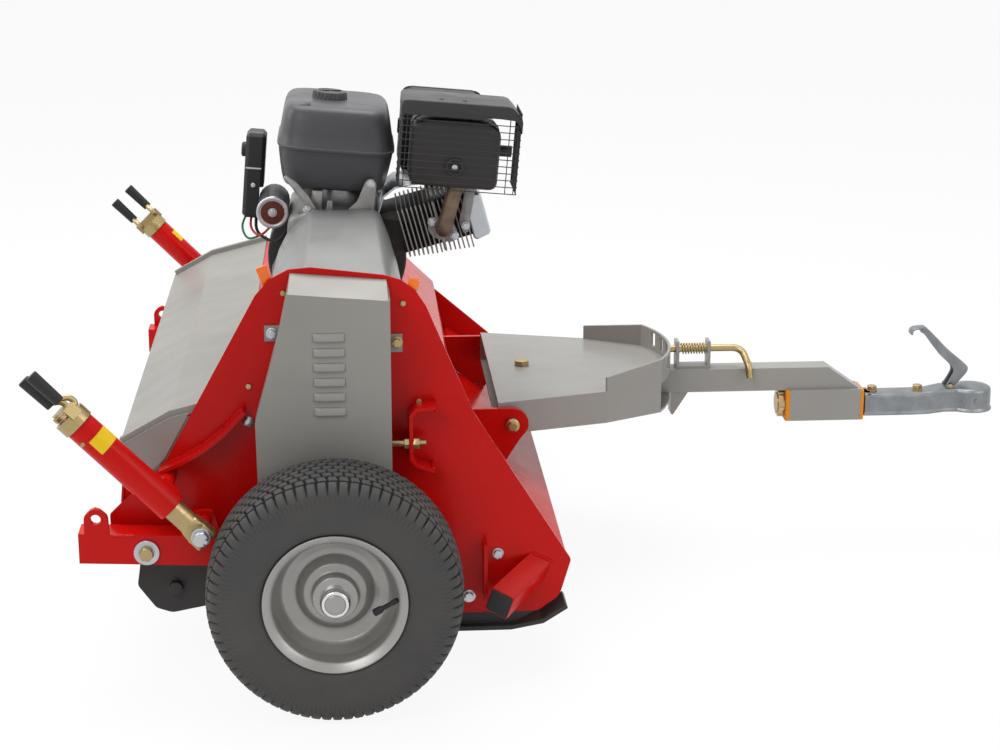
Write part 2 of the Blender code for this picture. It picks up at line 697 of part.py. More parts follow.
def tank(x, y, foot):
    """The fuel tank, widest at its seam, and its screwed cap."""
    crown = foot + TANK_HIGH - GAP
    shape = bmesh.new()
    rings = []
    for share, level in ((0.86, foot), (1.0, foot + TANK_SEAM), (0.885, crown)):
        long, wide = TANK_LONG / 2 * share, TANK_WIDE / 2 * share
        rings.append([shape.verts.new((x + a * long, y + b * wide, level)) for a, b in
                      ((-1, -1), (1, -1), (1, 1), (-1, 1))])
    shape.faces.new(rings[0][::-1])
    shape.faces.new(rings[2])
    for lower, upper in zip(rings, rings[1:]):
        for i in range(4):
            k = (i + 1) % 4
            shape.faces.new((lower[i], lower[k], upper[k], upper[i]))
    seam = set(rings[1])
    soft = [edge for edge in shape.edges if not seam.issuperset(edge.verts)]
    bmesh.ops.bevel(shape, geom=soft, offset=0.022, segments=2, affect="EDGES", profile=0.5)
    leaned("fuel_tank", tidy(shape), PLASTIC)
    filler = Vector((x - 0.016, y - 0.005, crown))
    cap = turned([(0.0, 0.015), (0.022, 0.015), (0.029, 0.012), (0.0313, GAP), (0.0, GAP)],
                 Matrix.Translation(filler), 20)
    leaned("fuel_cap", cap, PLASTIC, pivot("fuel_cap_turn", ENGINE_LEAN @ filler))


def guard(mute_low, mute_high):
    """A wire cage round the silencer, hung from a bent sheet over its top."""
    clear, pitch, rod = 0.012, 0.034, 0.0022
    low = Vector((mute_low[0] - 0.019, mute_low[1] - clear, mute_low[2]))
    high = Vector((mute_high[0] + 0.0325, mute_low[1] - clear, mute_high[2] + 0.021))
    back = mute_high[1] - 0.010
    run = [(low.x, back), (low.x, low.y), (high.x, low.y), (high.x, back)]
    spots = []
    for start, end in zip(run, run[1:]):
        start, end = Vector(start), Vector(end)
        count = max(2, round((end - start).length / (pitch * 1.8)))
        spots += [start.lerp(end, i / count) for i in range(count)]
    spots.append(Vector(run[-1]))
    rows = max(2, round((high.z - low.z) / pitch))
    levels = [low.z + (high.z - low.z) * i / rows for i in range(rows + 1)]
    shape = bmesh.new()
    grid = [[shape.verts.new((*spot, level)) for spot in spots] for level in levels]
    for lower, upper in zip(grid, grid[1:]):
        for i in range(len(spots) - 1):
            shape.faces.new((lower[i], lower[i + 1], upper[i + 1], upper[i]))
    mesh = bpy.data.meshes.new("cage")
    shape.to_mesh(mesh)
    shape.free()
    item = bpy.data.objects.new("cage", mesh)
    cutters.objects.link(item)
    net = item.modifiers.new("wires", "WIREFRAME")
    net.thickness = rod
    net.use_even_offset = True
    net.use_boundary = True
    net.use_replace = True
    cage = baked(item)
    crown = high.z + 0.010
    lid = box((low.x - 0.002, low.y - 0.002, crown - 0.027), (high.x + 0.002, back + 0.020, crown), 0.008, 2)
    hollow = box((low.x + 0.001, low.y + 0.001, crown - 0.072), (high.x - 0.001, back + 0.0175, crown - 0.0025),
                 0.0065, 2)
    made = leaned("muffler_guard", lid, BLACK, cuts=[hollow])
    stay_x, stay_y = mute_low[0] + 0.060, mute_low[1] + 0.042
    stay = box((stay_x, stay_y, mute_high[2] + GAP), (stay_x + 0.060, stay_y + 0.035, crown - 0.0012))
    for shape in (stay, cage):
        shape.transform(ENGINE_LEAN)
        weld(made, shape)


def belt_drive():
    """Engine shaft and pulley, rotor pulley, belt and idler, under a bent sheet cover."""
    shaft = pivot("drive_spin", (CRANK_X, BELT_Y, CRANK_Z))
    low = BELT_Y - 0.016
    wheel = pulley(DRIVE_PULLEY_R, CRANK_X, CRANK_Z)
    rod = bar((CRANK_X, low, CRANK_Z), (CRANK_X, ENGINE_NEAR - GAP, CRANK_Z), CRANK_R)
    piece("drive_pulley", wheel, STEEL, shaft, joins=[rod])

    line = open_belt()
    piece("drive_belt", flat(line[0], BELT_Y - BELT_WIDTH / 2, BELT_Y + BELT_WIDTH / 2, "Y", [line[1]]), BELT)

    half = 0.012
    idler_x = belt_edge(IDLER_Z) - IDLER_R - GAP * 2
    turning = pivot("idler_spin", (idler_x, BELT_Y, IDLER_Z))
    roll = turned([(0.0, half), (IDLER_R, half), (IDLER_R, -half), (0.0, -half)],
                  along_y(idler_x, BELT_Y, IDLER_Z, -1), 20)
    stud = bar((idler_x, -DECK_HALF - GAP, IDLER_Z), (idler_x, BELT_Y, IDLER_Z), 0.008, 12)
    piece("idler_pulley", roll, STEEL, turning, joins=[stud])
    belt_cover(idler_x)
    tension_gear()


def belt_cover(idler_x):
    """The bent sheet cover over the belt, shallower where the wheel arm passes it."""
    back_y, front_y = -DECK_HALF - GAP, -DECK_HALF - COVER_DEPTH
    ahead, top = CRANK_X + DRIVE_PULLEY_R + 0.0165, CRANK_Z + DRIVE_PULLEY_R + 0.027
    foot, rear = ROTOR_Z - ROTOR_PULLEY_R - 0.038, idler_x - IDLER_R - 0.0122
    edge_line = [(ahead, top - 0.030), (ahead, STEP_HIGH), (ahead, STEP_LOW), (ahead, foot + 0.030),
                 (ahead - 0.0425, foot), (rear + 0.0425, foot), (rear + 0.0035, foot + 0.048),
                 (rear + 0.002, STEP_LOW), (rear + 0.0015, STEP_HIGH), (rear, IDLER_Z + 0.048),
                 (rear + 0.0145, IDLER_Z + 0.098), (CRANK_X - 0.093, CRANK_Z + 0.005)]
    rear_ring = [(CRANK_X - 0.073, top), (ahead - 0.0045, top - 0.013)] + edge_line
    face_ring = [(CRANK_X - 0.076, top - 0.020), (ahead - 0.0025, top - 0.033)] + edge_line
    shape = bmesh.new()
    step_y = -DECK_HALF - STEP_DEPTH
    rings = [[shape.verts.new((a, back_y, b)) for a, b in rear_ring],
             [shape.verts.new((a, step_y if b <= STEP_LOW else front_y, b)) for a, b in face_ring]]
    for i in range(len(rear_ring)):
        k = (i + 1) % len(rear_ring)
        shape.faces.new((rings[0][i], rings[0][k], rings[1][k], rings[1][i]))
    face = rings[1]
    shape.faces.new(face[:4] + face[10:])
    shape.faces.new((face[3], face[4], face[9], face[10]))
    shape.faces.new(face[4:10])
    bmesh.ops.recalc_face_normals(shape, faces=shape.faces)
    if sum((face.normal * face.calc_area()).y for face in shape.faces) > 0:
        bmesh.ops.reverse_faces(shape, faces=shape.faces)
    mesh = bpy.data.meshes.new("cover")
    shape.to_mesh(mesh)
    shape.free()
    item = bpy.data.objects.new("cover", mesh)
    cutters.objects.link(item)
    wall = item.modifiers.new("wall", "SOLIDIFY")
    wall.thickness = COVER_WALL
    wall.offset = -1.0
    wall.use_even_offset = True
    tab_y = back_y - 0.003
    rear_tab = box((CRANK_X - 0.116, tab_y, CRANK_Z - 0.016), (CRANK_X - 0.090, back_y, CRANK_Z + 0.010))
    front_tab = box((ahead - 0.001, tab_y, CRANK_Z - 0.0375), (ahead + 0.020, back_y, CRANK_Z - 0.0075))
    bolt_y = -DECK_HALF - TENSION_OUT
    rod_hole = bar((ahead - 0.04, bolt_y, IDLER_Z), (ahead + 0.02, bolt_y, IDLER_Z), 0.007)
    flush = box((-0.3, back_y, 0.0), (0.3, back_y + 0.02, 1.0))
    piece("belt_cover", baked(item), GREY, joins=[rear_tab, front_tab], cuts=[rod_hole, flush])


def tension_gear():
    """The folded bracket and the bolt that pull the belt tight."""
    ahead, z, sheet = CRANK_X + DRIVE_PULLEY_R + 0.0165, IDLER_Z, 0.006
    face = ahead + 0.0345
    fold = [(face + 0.038, z + 0.0576), (face + 0.007, z + 0.054), (face, z + 0.046), (face, z - 0.025),
            (face + 0.007, z - 0.034), (face + 0.034, z - 0.044)]
    reach = span(-1, DECK_HALF + GAP, DECK_HALF + 0.040)
    bolt_y = -DECK_HALF - TENSION_OUT
    through = bar((face - 0.03, bolt_y, z), (face + 0.02, bolt_y, z), 0.005 + RUN)
    piece("tension_bracket", flat(ribbon(fold, sheet), *reach), RED, cuts=[through])
    rod = bar((ahead - 0.0245, bolt_y, z), (face + 0.021, bolt_y, z), 0.005, 12)
    head = bar((face + GAP, bolt_y, z), (face + 0.010, bolt_y, z), 0.010, 6)
    nut = bar((face - sheet - 0.008, bolt_y, z), (face - sheet - GAP, bolt_y, z), 0.009, 6)
    piece("tension_bolt", rod, YELLOW_ZINC, joins=[head, nut])


def shaft_guard():
    """The sloped sheet guard over the engine shaft, between the end plate and the engine."""
    near_y, far_y = -DECK_HALF + PLATE + GAP, ENGINE_NEAR - GAP
    middle, foot = CRANK_X + 0.013, DECK_TOP + GAP
    shape = bmesh.new()
    stations = []
    for y, rise, half, low_half in ((near_y, 0.070, 0.072, 0.128), (far_y, 0.138, 0.0575, 0.118)):
        top = CRANK_Z + rise
        ring = [(middle - low_half, foot), (middle - half, top), (middle + half, top),
                (middle + low_half, foot)]
        stations.append([shape.verts.new((a, y, max(b, foot))) for a, b in ribbon(ring, 0.003)])
    near, far = stations
    shape.faces.new(near)
    shape.faces.new(far[::-1])
    for i in range(len(near)):
        k = (i + 1) % len(near)
        shape.faces.new((near[k], near[i], far[i], far[k]))
    piece("shaft_guard", tidy(shape), GREY)


def pulley(radius, x, z):
    """A grooved pulley on the belt's line."""
    half, wall = BELT_WIDTH / 2 + 0.0008, 0.003
    profile = [(0.0, half + wall), (radius, half + wall), (radius, half), (radius - GROOVE, half),
               (radius - GROOVE, -half), (radius, -half), (radius, -half - wall), (0.0, -half - wall)]
    return turned(profile, along_y(x, BELT_Y, z, -1), ROUND)


def belt_lean():
    """Angle by which the belt's straight runs lean, because its pulleys differ."""
    return acos((DRIVE_PULLEY_R - ROTOR_PULLEY_R) / hypot(CRANK_X - ROTOR_X, CRANK_Z - ROTOR_Z))


def open_belt():
    """Outer and inner outline of a belt round both pulleys."""
    way = atan2(CRANK_Z - ROTOR_Z, CRANK_X - ROTOR_X)
    lean = belt_lean()
    rings = []
    for extra in (BELT_THICK, 0.0):
        ring = []
        for x, z, radius, first, last in (
                (CRANK_X, CRANK_Z, DRIVE_PULLEY_R, way + pi - lean, way - pi + lean),
                (ROTOR_X, ROTOR_Z, ROTOR_PULLEY_R, way - pi + lean, way - pi - lean)):
            steps = 14
            size = radius - GROOVE + GAP * 2 + extra
            ring += [(x + size * cos(first + (last - first) * i / steps),
                      z + size * sin(first + (last - first) * i / steps)) for i in range(steps + 1)]
        rings.append(ring)
    return rings


def belt_edge(height):
    """The x of the belt's rear run at a height."""
    ring = open_belt()[0]
    best = None
    for (ax, az), (bx, bz) in zip(ring, ring[1:] + ring[:1]):
        if min(az, bz) <= height <= max(az, bz) and abs(az - bz) > 0.1:
            x = ax + (bx - ax) * (height - az) / (bz - az)
            best = x if best is None else min(best, x)
    return best


def rotor():
    """The flail rotor on its shaft, with the driven pulley on the belt side."""
    turning = pivot("rotor_spin", (ROTOR_X, 0.0, ROTOR_Z))
    drum = bar((ROTOR_X, -ROTOR_HALF, ROTOR_Z), (ROTOR_X, ROTOR_HALF, ROTOR_Z), ROTOR_TUBE_R, 24)
    reach_left = DECK_HALF + 0.012
    shaft = bar((ROTOR_X, BELT_Y - 0.0125, ROTOR_Z), (ROTOR_X, reach_left, ROTOR_Z), ROTOR_SHAFT_R, ROUND)
    joins = [shaft]
    for i in range(FLAIL_COUNT):
        y = -ROTOR_HALF + FLAIL_WIDTH * 0.7 + i * (2 * ROTOR_HALF - FLAIL_WIDTH * 1.4) / (FLAIL_COUNT - 1)
        half = FLAIL_WIDTH / 2
        root = ROTOR_TUBE_R - 0.006
        blade = box((-FLAIL_THICK / 2, y - half, root), (FLAIL_THICK / 2, y + half, FLAIL_REACH))
        blade.transform(Matrix.Translation((ROTOR_X, 0, ROTOR_Z)) @ Matrix.Rotation(radians(135 * i), 4, "Y"))
        joins.append(blade)
    piece("rotor", drum, STEEL, turning, joins=joins)
    bore = bar((ROTOR_X, BELT_Y - 0.03, ROTOR_Z), (ROTOR_X, BELT_Y + 0.03, ROTOR_Z), ROTOR_SHAFT_R + GAP, ROUND)
    piece("rotor_pulley", pulley(ROTOR_PULLEY_R, ROTOR_X, ROTOR_Z), STEEL, turning, cuts=[bore])


def roller_and_skids():
    """The rear roller in its two hanger plates, and the two skids under the deck's ends."""
    turning = pivot("roller_spin", (ROLLER_X, 0.0, ROLLER_Z))
    inner = DECK_HALF + GAP
    drum = bar((ROLLER_X, -ROLLER_HALF, ROLLER_Z), (ROLLER_X, ROLLER_HALF, ROLLER_Z), ROLLER_R, 24)
    reach = inner + HANGER - 0.001
    shaft = bar((ROLLER_X, -reach, ROLLER_Z), (ROLLER_X, reach, ROLLER_Z), ROLLER_SHAFT_R)
    piece("rear_roller", drum, BLACK, turning, joins=[shaft])
    x, z = ROLLER_X, ROLLER_Z
    outline = rounded([(x - 0.063, z + 0.003, 0.012), (x - 0.034, z - 0.037, 0.014),
                       (x - 0.008, z - 0.046, 0.02), (x + 0.082, z - 0.029, 0.01),
                       (x + 0.082, z + 0.048, 0.01), (x + 0.047, z + 0.105, 0.01),
                       (x, z + 0.105, 0.01), (x - 0.056, z + 0.048, 0.01)], 2)
    for name, side in (("roller_bracket_right", -1), ("roller_bracket_left", 1)):
        low, high = span(side, inner, inner + HANGER)
        hole = [circle(x, z, ROLLER_SHAFT_R + RUN, ROUND)]
        clear = cross_bar(PIVOT_X, PIVOT_Z, side, DECK_HALF - 0.01, DECK_HALF + 0.03, PIVOT_BOSS_R + 0.001)
        piece(name, flat(outline, low, high, "Y", hole), BLACK, cuts=[clear])
    rear_x, bend_x, tip = -0.165, NOSE_X - 0.101, (NOSE_X - 0.005, SKID_BOTTOM + 0.036)
    sole = [tip, (NOSE_X - 0.046, SKID_BOTTOM + 0.010), (bend_x, SKID_BOTTOM), (rear_x, SKID_BOTTOM),
            (rear_x - 0.030, SKID_BOTTOM + 0.014)]
    for name, side in (("skid_right", -1), ("skid_left", 1)):
        inner = DECK_HALF - PLATE - GAP
        strip = flat(ribbon(sole, SKID_THICK), *span(side, inner - SKID_WIDTH + 0.014, inner + 0.014))
        web = flat([(rear_x + 0.02, SKID_BOTTOM + 0.004), (bend_x, SKID_BOTTOM + 0.004),
                    (bend_x + 0.040, SKID_BOTTOM + 0.026), (bend_x - 0.015, SKID_BOTTOM + 0.111),
                    (bend_x - 0.045, SKID_BOTTOM + 0.111), (bend_x - 0.090, SKID_BOTTOM + 0.066),
                    (rear_x + 0.06, SKID_BOTTOM + 0.066)], *span(side, inner - 0.006, inner))
        clear = cross_bar(ROTOR_X, ROTOR_Z, side, inner - 0.1, inner + 0.1, FLAIL_REACH * 0.75, ROUND)
        piece(name, strip, BLACK, joins=[web], cuts=[clear])


def arm_z(x):
    """Height of a wheel arm's middle line."""
    return 0.2465 - (x - ARM_REAR) * 0.043


def strip(rear, front, half):
    """The (x, z) outline of a stretch of a wheel arm."""
    low = [(x, arm_z(x) - half) for x in (rear, front)]
    return low + [(x, arm_z(x) + half) for x in (front, rear)]


def wheel_arms():
    """Box-section arms that pivot on the deck's rear corners and carry the wheels."""
    half = ARM_DEPTH / 2
    for name, side, joint in (("wheel_arm_right", -1, arm_pivots[-1]), ("wheel_arm_left", 1, arm_pivots[1])):
        inner, outer = ARM_INNER, ARM_INNER + ARM_WIDTH
        beam = flat(strip(ARM_REAR, BEAM_END, half), *span(side, inner, outer))
        hollow = strip(ARM_REAR - 0.01, BEAM_END - 0.020, half - ARM_WALL)
        lug_foot, yoke_foot = arm_z(ARM_REAR) + half - 0.0095, arm_z(YOKE_X) + half - 0.0048
        pin_end = JACK_Y + 0.020
        joins = [
            flat(strip(BEAM_END - 0.050, BAR_END, half - 0.004), *span(side, BAR_INNER, outer - 0.0005)),
            cross_bar(0.0, AXLE_Z, side, BAR_INNER + 0.004, TRACK_HALF + 0.053, AXLE_R),
            flat([(-0.015, AXLE_Z - 0.006), (0.015, AXLE_Z - 0.006), (0.021, arm_z(0.0) + 0.008),
                  (-0.021, arm_z(0.0) + 0.008)],
                 *span(side, BAR_INNER + 0.002, outer - 0.002)),
            flat(rounded([(ARM_REAR + 0.010, lug_foot, 0), (ARM_REAR + 0.050, lug_foot, 0),
                          (ARM_REAR + 0.048, lug_foot + 0.038, 0.012),
                          (ARM_REAR + 0.028, lug_foot + 0.056, 0.012),
                          (ARM_REAR + 0.010, lug_foot + 0.038, 0.012)], 2), *span(side, outer - 0.010, outer)),
            flat(rounded([(YOKE_X - 0.030, yoke_foot, 0), (YOKE_X + 0.028, yoke_foot, 0),
                          (YOKE_X + 0.016, YOKE_Z + 0.018, 0.010), (YOKE_X - 0.016, YOKE_Z + 0.018, 0.010)], 2),
                 *span(side, outer - 0.012, outer)),
            cross_bar(YOKE_X, YOKE_Z, side, outer - 0.006, pin_end, YOKE_PIN_R),
            cross_bar(YOKE_X, YOKE_Z, side, outer - 0.006, JACK_Y - 0.0135, 0.012),
            cross_bar(YOKE_X, YOKE_Z, side, JACK_Y + 0.0135, pin_end, 0.011),
        ]
        cuts = [flat(hollow, *span(side, inner + ARM_WALL, outer - ARM_WALL)),
                cross_bar(PIVOT_X, PIVOT_Z, side, inner - 0.01, outer + 0.01, PIVOT_R + RUN),
                cross_bar(ARM_REAR + 0.029, lug_foot + 0.033, side, outer - 0.02, outer + 0.01, 0.0085)]
        piece(name, beam, RED, joint, joins=joins, cuts=cuts)


def wheels():
    """Pressed-steel wheels with pneumatic turf tyres."""
    belly = TYRE_WIDTH / 2
    bead = [(RIM_R / cos(pi / TYRE_SIDES) + GAP, 0.0640), (0.1145, 0.0662),
            (TYRE_R - 0.054, belly), (TYRE_R - 0.028, belly - 0.003), (TYRE_R - 0.012, belly - 0.014),
            (TYRE_R, belly - 0.030)]
    ring = bead + [(radius, -out) for radius, out in bead[::-1]]
    dish = [(0.0, 0.074), (0.0155, 0.074), (0.0235, 0.066), (0.0235, 0.046), (0.036, 0.044), (0.036, 0.024),
            (0.050, 0.022), (0.062, 0.006), (0.084, 0.010), (0.0985, 0.030), (0.0985, 0.062),
            (0.1135, RIM_HALF),
            (0.1137, 0.0685), (RIM_R, 0.0652), (RIM_R, 0.030), (0.090, 0.006), (0.090, -0.012), (RIM_R, -0.045),
            (RIM_R, -0.0652), (0.1137, -0.0685), (0.1135, -RIM_HALF), (0.0985, -0.062), (0.0985, -0.046),
            (0.086, -0.016), (0.080, 0.002), (0.030, 0.006), (0.030, -0.050), (AXLE_R + RUN, -0.050),
            (AXLE_R + RUN, 0.055), (0.0, 0.055)]
    for label, side in (("right", -1), ("left", 1)):
        hub = Vector((0.0, side * TRACK_HALF, AXLE_Z))
        joint = pivot("wheel_spin_" + label, hub, arm_pivots[side])
        place = along_y(*hub, side)
        piece("tyre_" + label, turned(ring, place, TYRE_SIDES, closed=True), RUBBER, joint)
        piece("rim_" + label, turned(dish, place, RIM_SIDES), RIM, joint)


JACK_WAY = Vector((-cos(radians(JACK_ANGLE)), 0.0, sin(radians(JACK_ANGLE))))
JACK_UP = Vector((sin(radians(JACK_ANGLE)), 0.0, cos(radians(JACK_ANGLE))))


def on_jack(distance):
    """The x and z of a point on the jack's axis, measured from its yoke pin."""
    point = Vector((YOKE_X, 0.0, YOKE_Z)) + JACK_WAY * distance
    return point.x, point.z


def jacks():
    """Screw jacks that lift the wheel arms, each with a crank head and two folding handles."""
    for label, side in (("right", -1), ("left", 1)):
        base = Vector((YOKE_X, side * JACK_Y, YOKE_Z))

        def at(distance, up=0.0, out=0.0):
            return base + JACK_WAY * distance + JACK_UP * up + Vector((0.0, side * out, 0.0))

        frame = Matrix((JACK_WAY, (0, side, 0), JACK_UP)).transposed().to_4x4()
        if frame.determinant() < 0:
            frame = Matrix((JACK_WAY, (0, side, 0), -JACK_UP)).transposed().to_4x4()

        def along(low, high):
            made = box(low, high)
            made.transform(Matrix.Translation(base) @ frame)
            return made

        turn = radians(CRANK_TURNS[side])
        swung = Matrix.Rotation(-side * turn, 4, JACK_WAY)

        def cranked(distance, up=0.0, out=0.0):
            return at(distance, up * cos(turn) + out * sin(turn), out * cos(turn) - up * sin(turn))

        tilt = pivot("jack_tilt_" + label, at(JACK_PIVOT))
        bore = JACK_TUBE_R - JACK_WALL
        saddle = along((JACK_PIVOT - 0.018, -JACK_TUBE_R - 0.018, -0.018), (JACK_PIVOT + 0.018, -0.004, 0.018))
        pin_hole = bar(at(JACK_PIVOT, 0, -JACK_TUBE_R - 0.030), at(JACK_PIVOT, 0, -JACK_TUBE_R - 0.001),
                       JACK_PIN_R + RUN)
        screw_bore = bar(at(JACK_START - 0.01), at(JACK_END + 0.01), bore, 20)
        piece("jack_tube_" + label, bar(at(JACK_START), at(JACK_END), JACK_TUBE_R, 20), RED, tilt,
              joins=[saddle], cuts=[pin_hole, screw_bore])

        slide = pivot("jack_screw_slide_" + label, base, tilt)
        yoke = along((-0.014, -0.013, -0.0145), (0.030, 0.013, 0.0145))
        eye = bar(at(0, 0, -0.02), at(0, 0, 0.02), YOKE_PIN_R + 0.0013)
        joins = [bar(at(0.026), at(0.100), bore - 0.0022, 20), bar(at(0.09), at(SCREW_END), SCREW_R)]
        piece("jack_screw_" + label, yoke, YELLOW_ZINC, slide, joins=joins, cuts=[eye])

        spin = pivot("crank_spin_" + label, at(JACK_END), tilt)
        collar = bar(at(JACK_END + GAP), at(JACK_END + 0.022), JACK_TUBE_R + 0.003, 20)
        cross = along((JACK_END + 0.015, -0.030, -0.010), (JACK_END + 0.036, 0.030, 0.010))
        spindle = bar(at(JACK_END - 0.052), at(JACK_END + 0.005), 0.010)
        eye_at = JACK_END + 0.028
        cross.transform(Matrix.Translation(base) @ swung @ Matrix.Translation(-base))
        eyes = [bar(cranked(eye_at, -0.02, k * HANDLE_APART), cranked(eye_at, 0.02, k * HANDLE_APART),
                    HANDLE_R + 0.0005) for k in (-1, 1)]
        piece("crank_head_" + label, collar, YELLOW_ZINC, spin, joins=[cross, spindle], cuts=eyes)
        for letter, k in (("a", 1), ("b", -1)):
            off = k * HANDLE_APART
            fold = pivot("handle_fold_%s_%s" % (letter, label), cranked(eye_at, 0, off), spin)
            path = bent([cranked(eye_at, -0.014, off), cranked(eye_at, 0.0165, off),
                         cranked(eye_at + 0.014, 0.0165, off), cranked(eye_at + 0.026, 0.0, off),
                         cranked(GRIP_START + 0.010, 0.0, off)], 0.005, 2)
            grip = bar(cranked(GRIP_START, 0, off), cranked(GRIP_END, 0, off), GRIP_R - 0.0015, SMALL, GRIP_R)
            piece("crank_handle_%s_%s" % (letter, label), wire(path, HANDLE_R, 1), PLASTIC, fold, joins=[grip])


def a_frame():
    """The grey frame between the deck's ears and the tongue, with its curved index plate."""
    tip = pivot("frame_float", (HITCH_X, 0.0, HITCH_Z))
    low = FRAME_TOP - 2 * FRAME_PLATE - TONGUE - 0.0055
    outer_r = INDEX_R + FRAME_PLATE
    sweep = arc(SWING_X, 0.0, outer_r, INDEX_HALF_ARC, -INDEX_HALF_ARC, 10)
    right_shoulder = (FRAME_SHOULDER[0], -FRAME_SHOULDER[1])
    side_line = [(FRAME_REAR, FRAME_REAR_HALF), FRAME_SHOULDER, sweep[0]]
    outline = side_line[:2] + sweep + [right_shoulder, (FRAME_REAR, -FRAME_REAR_HALF)]
    hole = [circle(SWING_X, 0.0, SWING_R + RUN)]
    top = flat(outline, FRAME_TOP - FRAME_PLATE, FRAME_TOP, "Z", hole)
    joins = [flat(outline, low, low + FRAME_PLATE, "Z", hole)]
    for side in (1, -1):
        line = [(a, side * b) for a, b in (side_line if side > 0 else side_line[::-1])]
        joins.append(flat(ribbon(line, FRAME_PLATE), low + 0.001, FRAME_TOP - 0.001, "Z"))
    crest = [FRAME_SHOULDER] + sweep + [right_shoulder]
    joins.append(flat(ribbon(crest, FRAME_PLATE), FRAME_TOP - 0.001, INDEX_HIGH, "Z"))
    rear, knee = FRAME_SHOULDER[0] - 0.020, sweep[0][0] - 0.0016
    wedge = [(rear, FRAME_TOP + 0.024), (knee, INDEX_HIGH + 0.0001), (knee, INDEX_HIGH + 0.03),
             (rear, INDEX_HIGH + 0.03)]
    cuts = [flat(wedge, -0.3, 0.3)]
    for k in range(-2, 3):
        slot = box((INDEX_R - 0.02, -0.0084, PIN_Z - 0.017), (outer_r + 0.02, 0.0084, PIN_Z + 0.009))
        slot.transform(Matrix.Translation((SWING_X, 0, 0)) @ Matrix.Rotation(radians(INDEX_STEP * k), 4, "Z"))
        cuts.append(slot)
    cuts.append(bar((HITCH_X, -0.3, HITCH_Z), (HITCH_X, 0.3, HITCH_Z), HITCH_PIN_R + RUN))
    piece("a_frame", top, GREY, tip, joins=joins, cuts=cuts)

    head_top = FRAME_TOP + GAP
    bolt = bar((SWING_X, 0, low - 0.014), (SWING_X, 0, head_top + 0.010), SWING_R)
    head = bar((SWING_X, 0, head_top), (SWING_X, 0, head_top + 0.010), 0.0150, 6)
    nut = bar((SWING_X, 0, low - 0.012), (SWING_X, 0, low - GAP), 0.0140, 6)
    piece("swing_bolt", bolt, YELLOW_ZINC, tip, joins=[head, nut])
    tongue(tip, low + FRAME_PLATE + 0.0008)


def tongue(tip, low):
    """The drawbar tube with its swivel housing, index pin and spring."""
    swing = pivot("tongue_swing", (SWING_X, 0.0, FRAME_TOP), tip)
    half, high = TONGUE / 2, low + TONGUE
    under = low - 0.001
    outline = [(TONGUE_REAR, low), (TONGUE_REAR, high), (SLOPE_START, high), (HOUSING_FRONT - 0.001, under),
               (HOUSING_REAR + 0.010, under), (HOUSING_REAR + 0.010, low)]
    tube = flat(outline, -half, half)
    inner = box((TONGUE_REAR - 0.01, -half + TONGUE_WALL, low + TONGUE_WALL),
                (HOUSING_REAR - 0.02, half - TONGUE_WALL, high - TONGUE_WALL))
    middle = low - HOUSING / 2
    housing = box((HOUSING_REAR, -HOUSING / 2, low - HOUSING), (HOUSING_FRONT, HOUSING / 2, low + 0.0015))
    rear, front, sheet, top = BRACKET_REAR, BRACKET_FRONT, BRACKET_THICK, PIN_Z + 0.017
    cradle = [(rear, high - 0.002), (front + sheet, high - 0.002), (front + sheet, top), (front, top),
              (front, high + sheet), (rear + sheet, high + sheet), (rear + sheet, top), (rear, top)]
    gusset = flat([(rear - 0.0085, low + 0.002), (rear - 0.0085, low - 0.044), (rear - 0.0045, low - 0.046),
                   (rear + 0.026, low + 0.002)], -0.018, 0.018)
    washer = bar((SWING_X, 0, high - 0.001), (SWING_X, 0, FRAME_TOP - FRAME_PLATE - 0.0005), 0.018)
    cuts = [
        inner,
        bar((SWING_X, 0, low - 0.01), (SWING_X, 0, high + 0.01), SWING_R + RUN),
        bar((BRACKET_REAR - 0.01, 0, PIN_Z), (BRACKET_FRONT + 0.02, 0, PIN_Z), PIN_R + RUN),
        bar((HOUSING_REAR - 0.01, 0, middle), (HOUSING_FRONT + 0.01, 0, middle),
            SWIVEL_R + RUN + BUSH_WALL + GAP, 20),
    ]
    piece("tongue", tube, GREY, swing, joins=[housing, flat(cradle, -0.016, 0.016), gusset, washer],
          cuts=cuts)

    slide = pivot("index_pin_slide", (BRACKET_REAR, 0.0, PIN_Z), swing)
    tip_x = SWING_X + INDEX_R + FRAME_PLATE + GAP * 2
    path = bent([(tip_x, 0, PIN_Z), (PIN_END + 0.008, 0, PIN_Z), (PIN_END + 0.018, -0.034, PIN_Z - 0.028),
                 (PIN_END + 0.020, -0.038, PIN_Z - 0.058)], 0.020)
    collar_x = BRACKET_REAR + BRACKET_THICK + 0.0006
    collar = bar((collar_x, 0, PIN_Z), (collar_x + 0.003, 0, PIN_Z), 0.0118)
    piece("index_pin", wire(path, PIN_R, 2), YELLOW_ZINC, slide, joins=[collar])
    coil = spring(collar_x + 0.003 + GAP + SPRING_WIRE, BRACKET_FRONT - GAP - SPRING_WIRE)
    piece("index_spring", coil, ZINC, swing)

    bore, rear, front = SWIVEL_R + RUN, HOUSING_REAR - GAP, HOUSING_FRONT + GAP
    flange, reach = bore + 0.0095, bore + BUSH_WALL
    profile = [(bore, front + 0.004), (flange, front + 0.004), (flange, front), (reach, front), (reach, rear),
               (flange, rear), (flange, rear - 0.008), (bore, rear - 0.008)]
    place = Matrix.Translation((0, 0, middle)) @ Matrix.Rotation(pi / 2, 4, "Y")
    piece("swivel_bush", turned(profile, place, 20, closed=True), ORANGE, swing)
    coupler(swing, middle, rear - 0.008 - GAP)


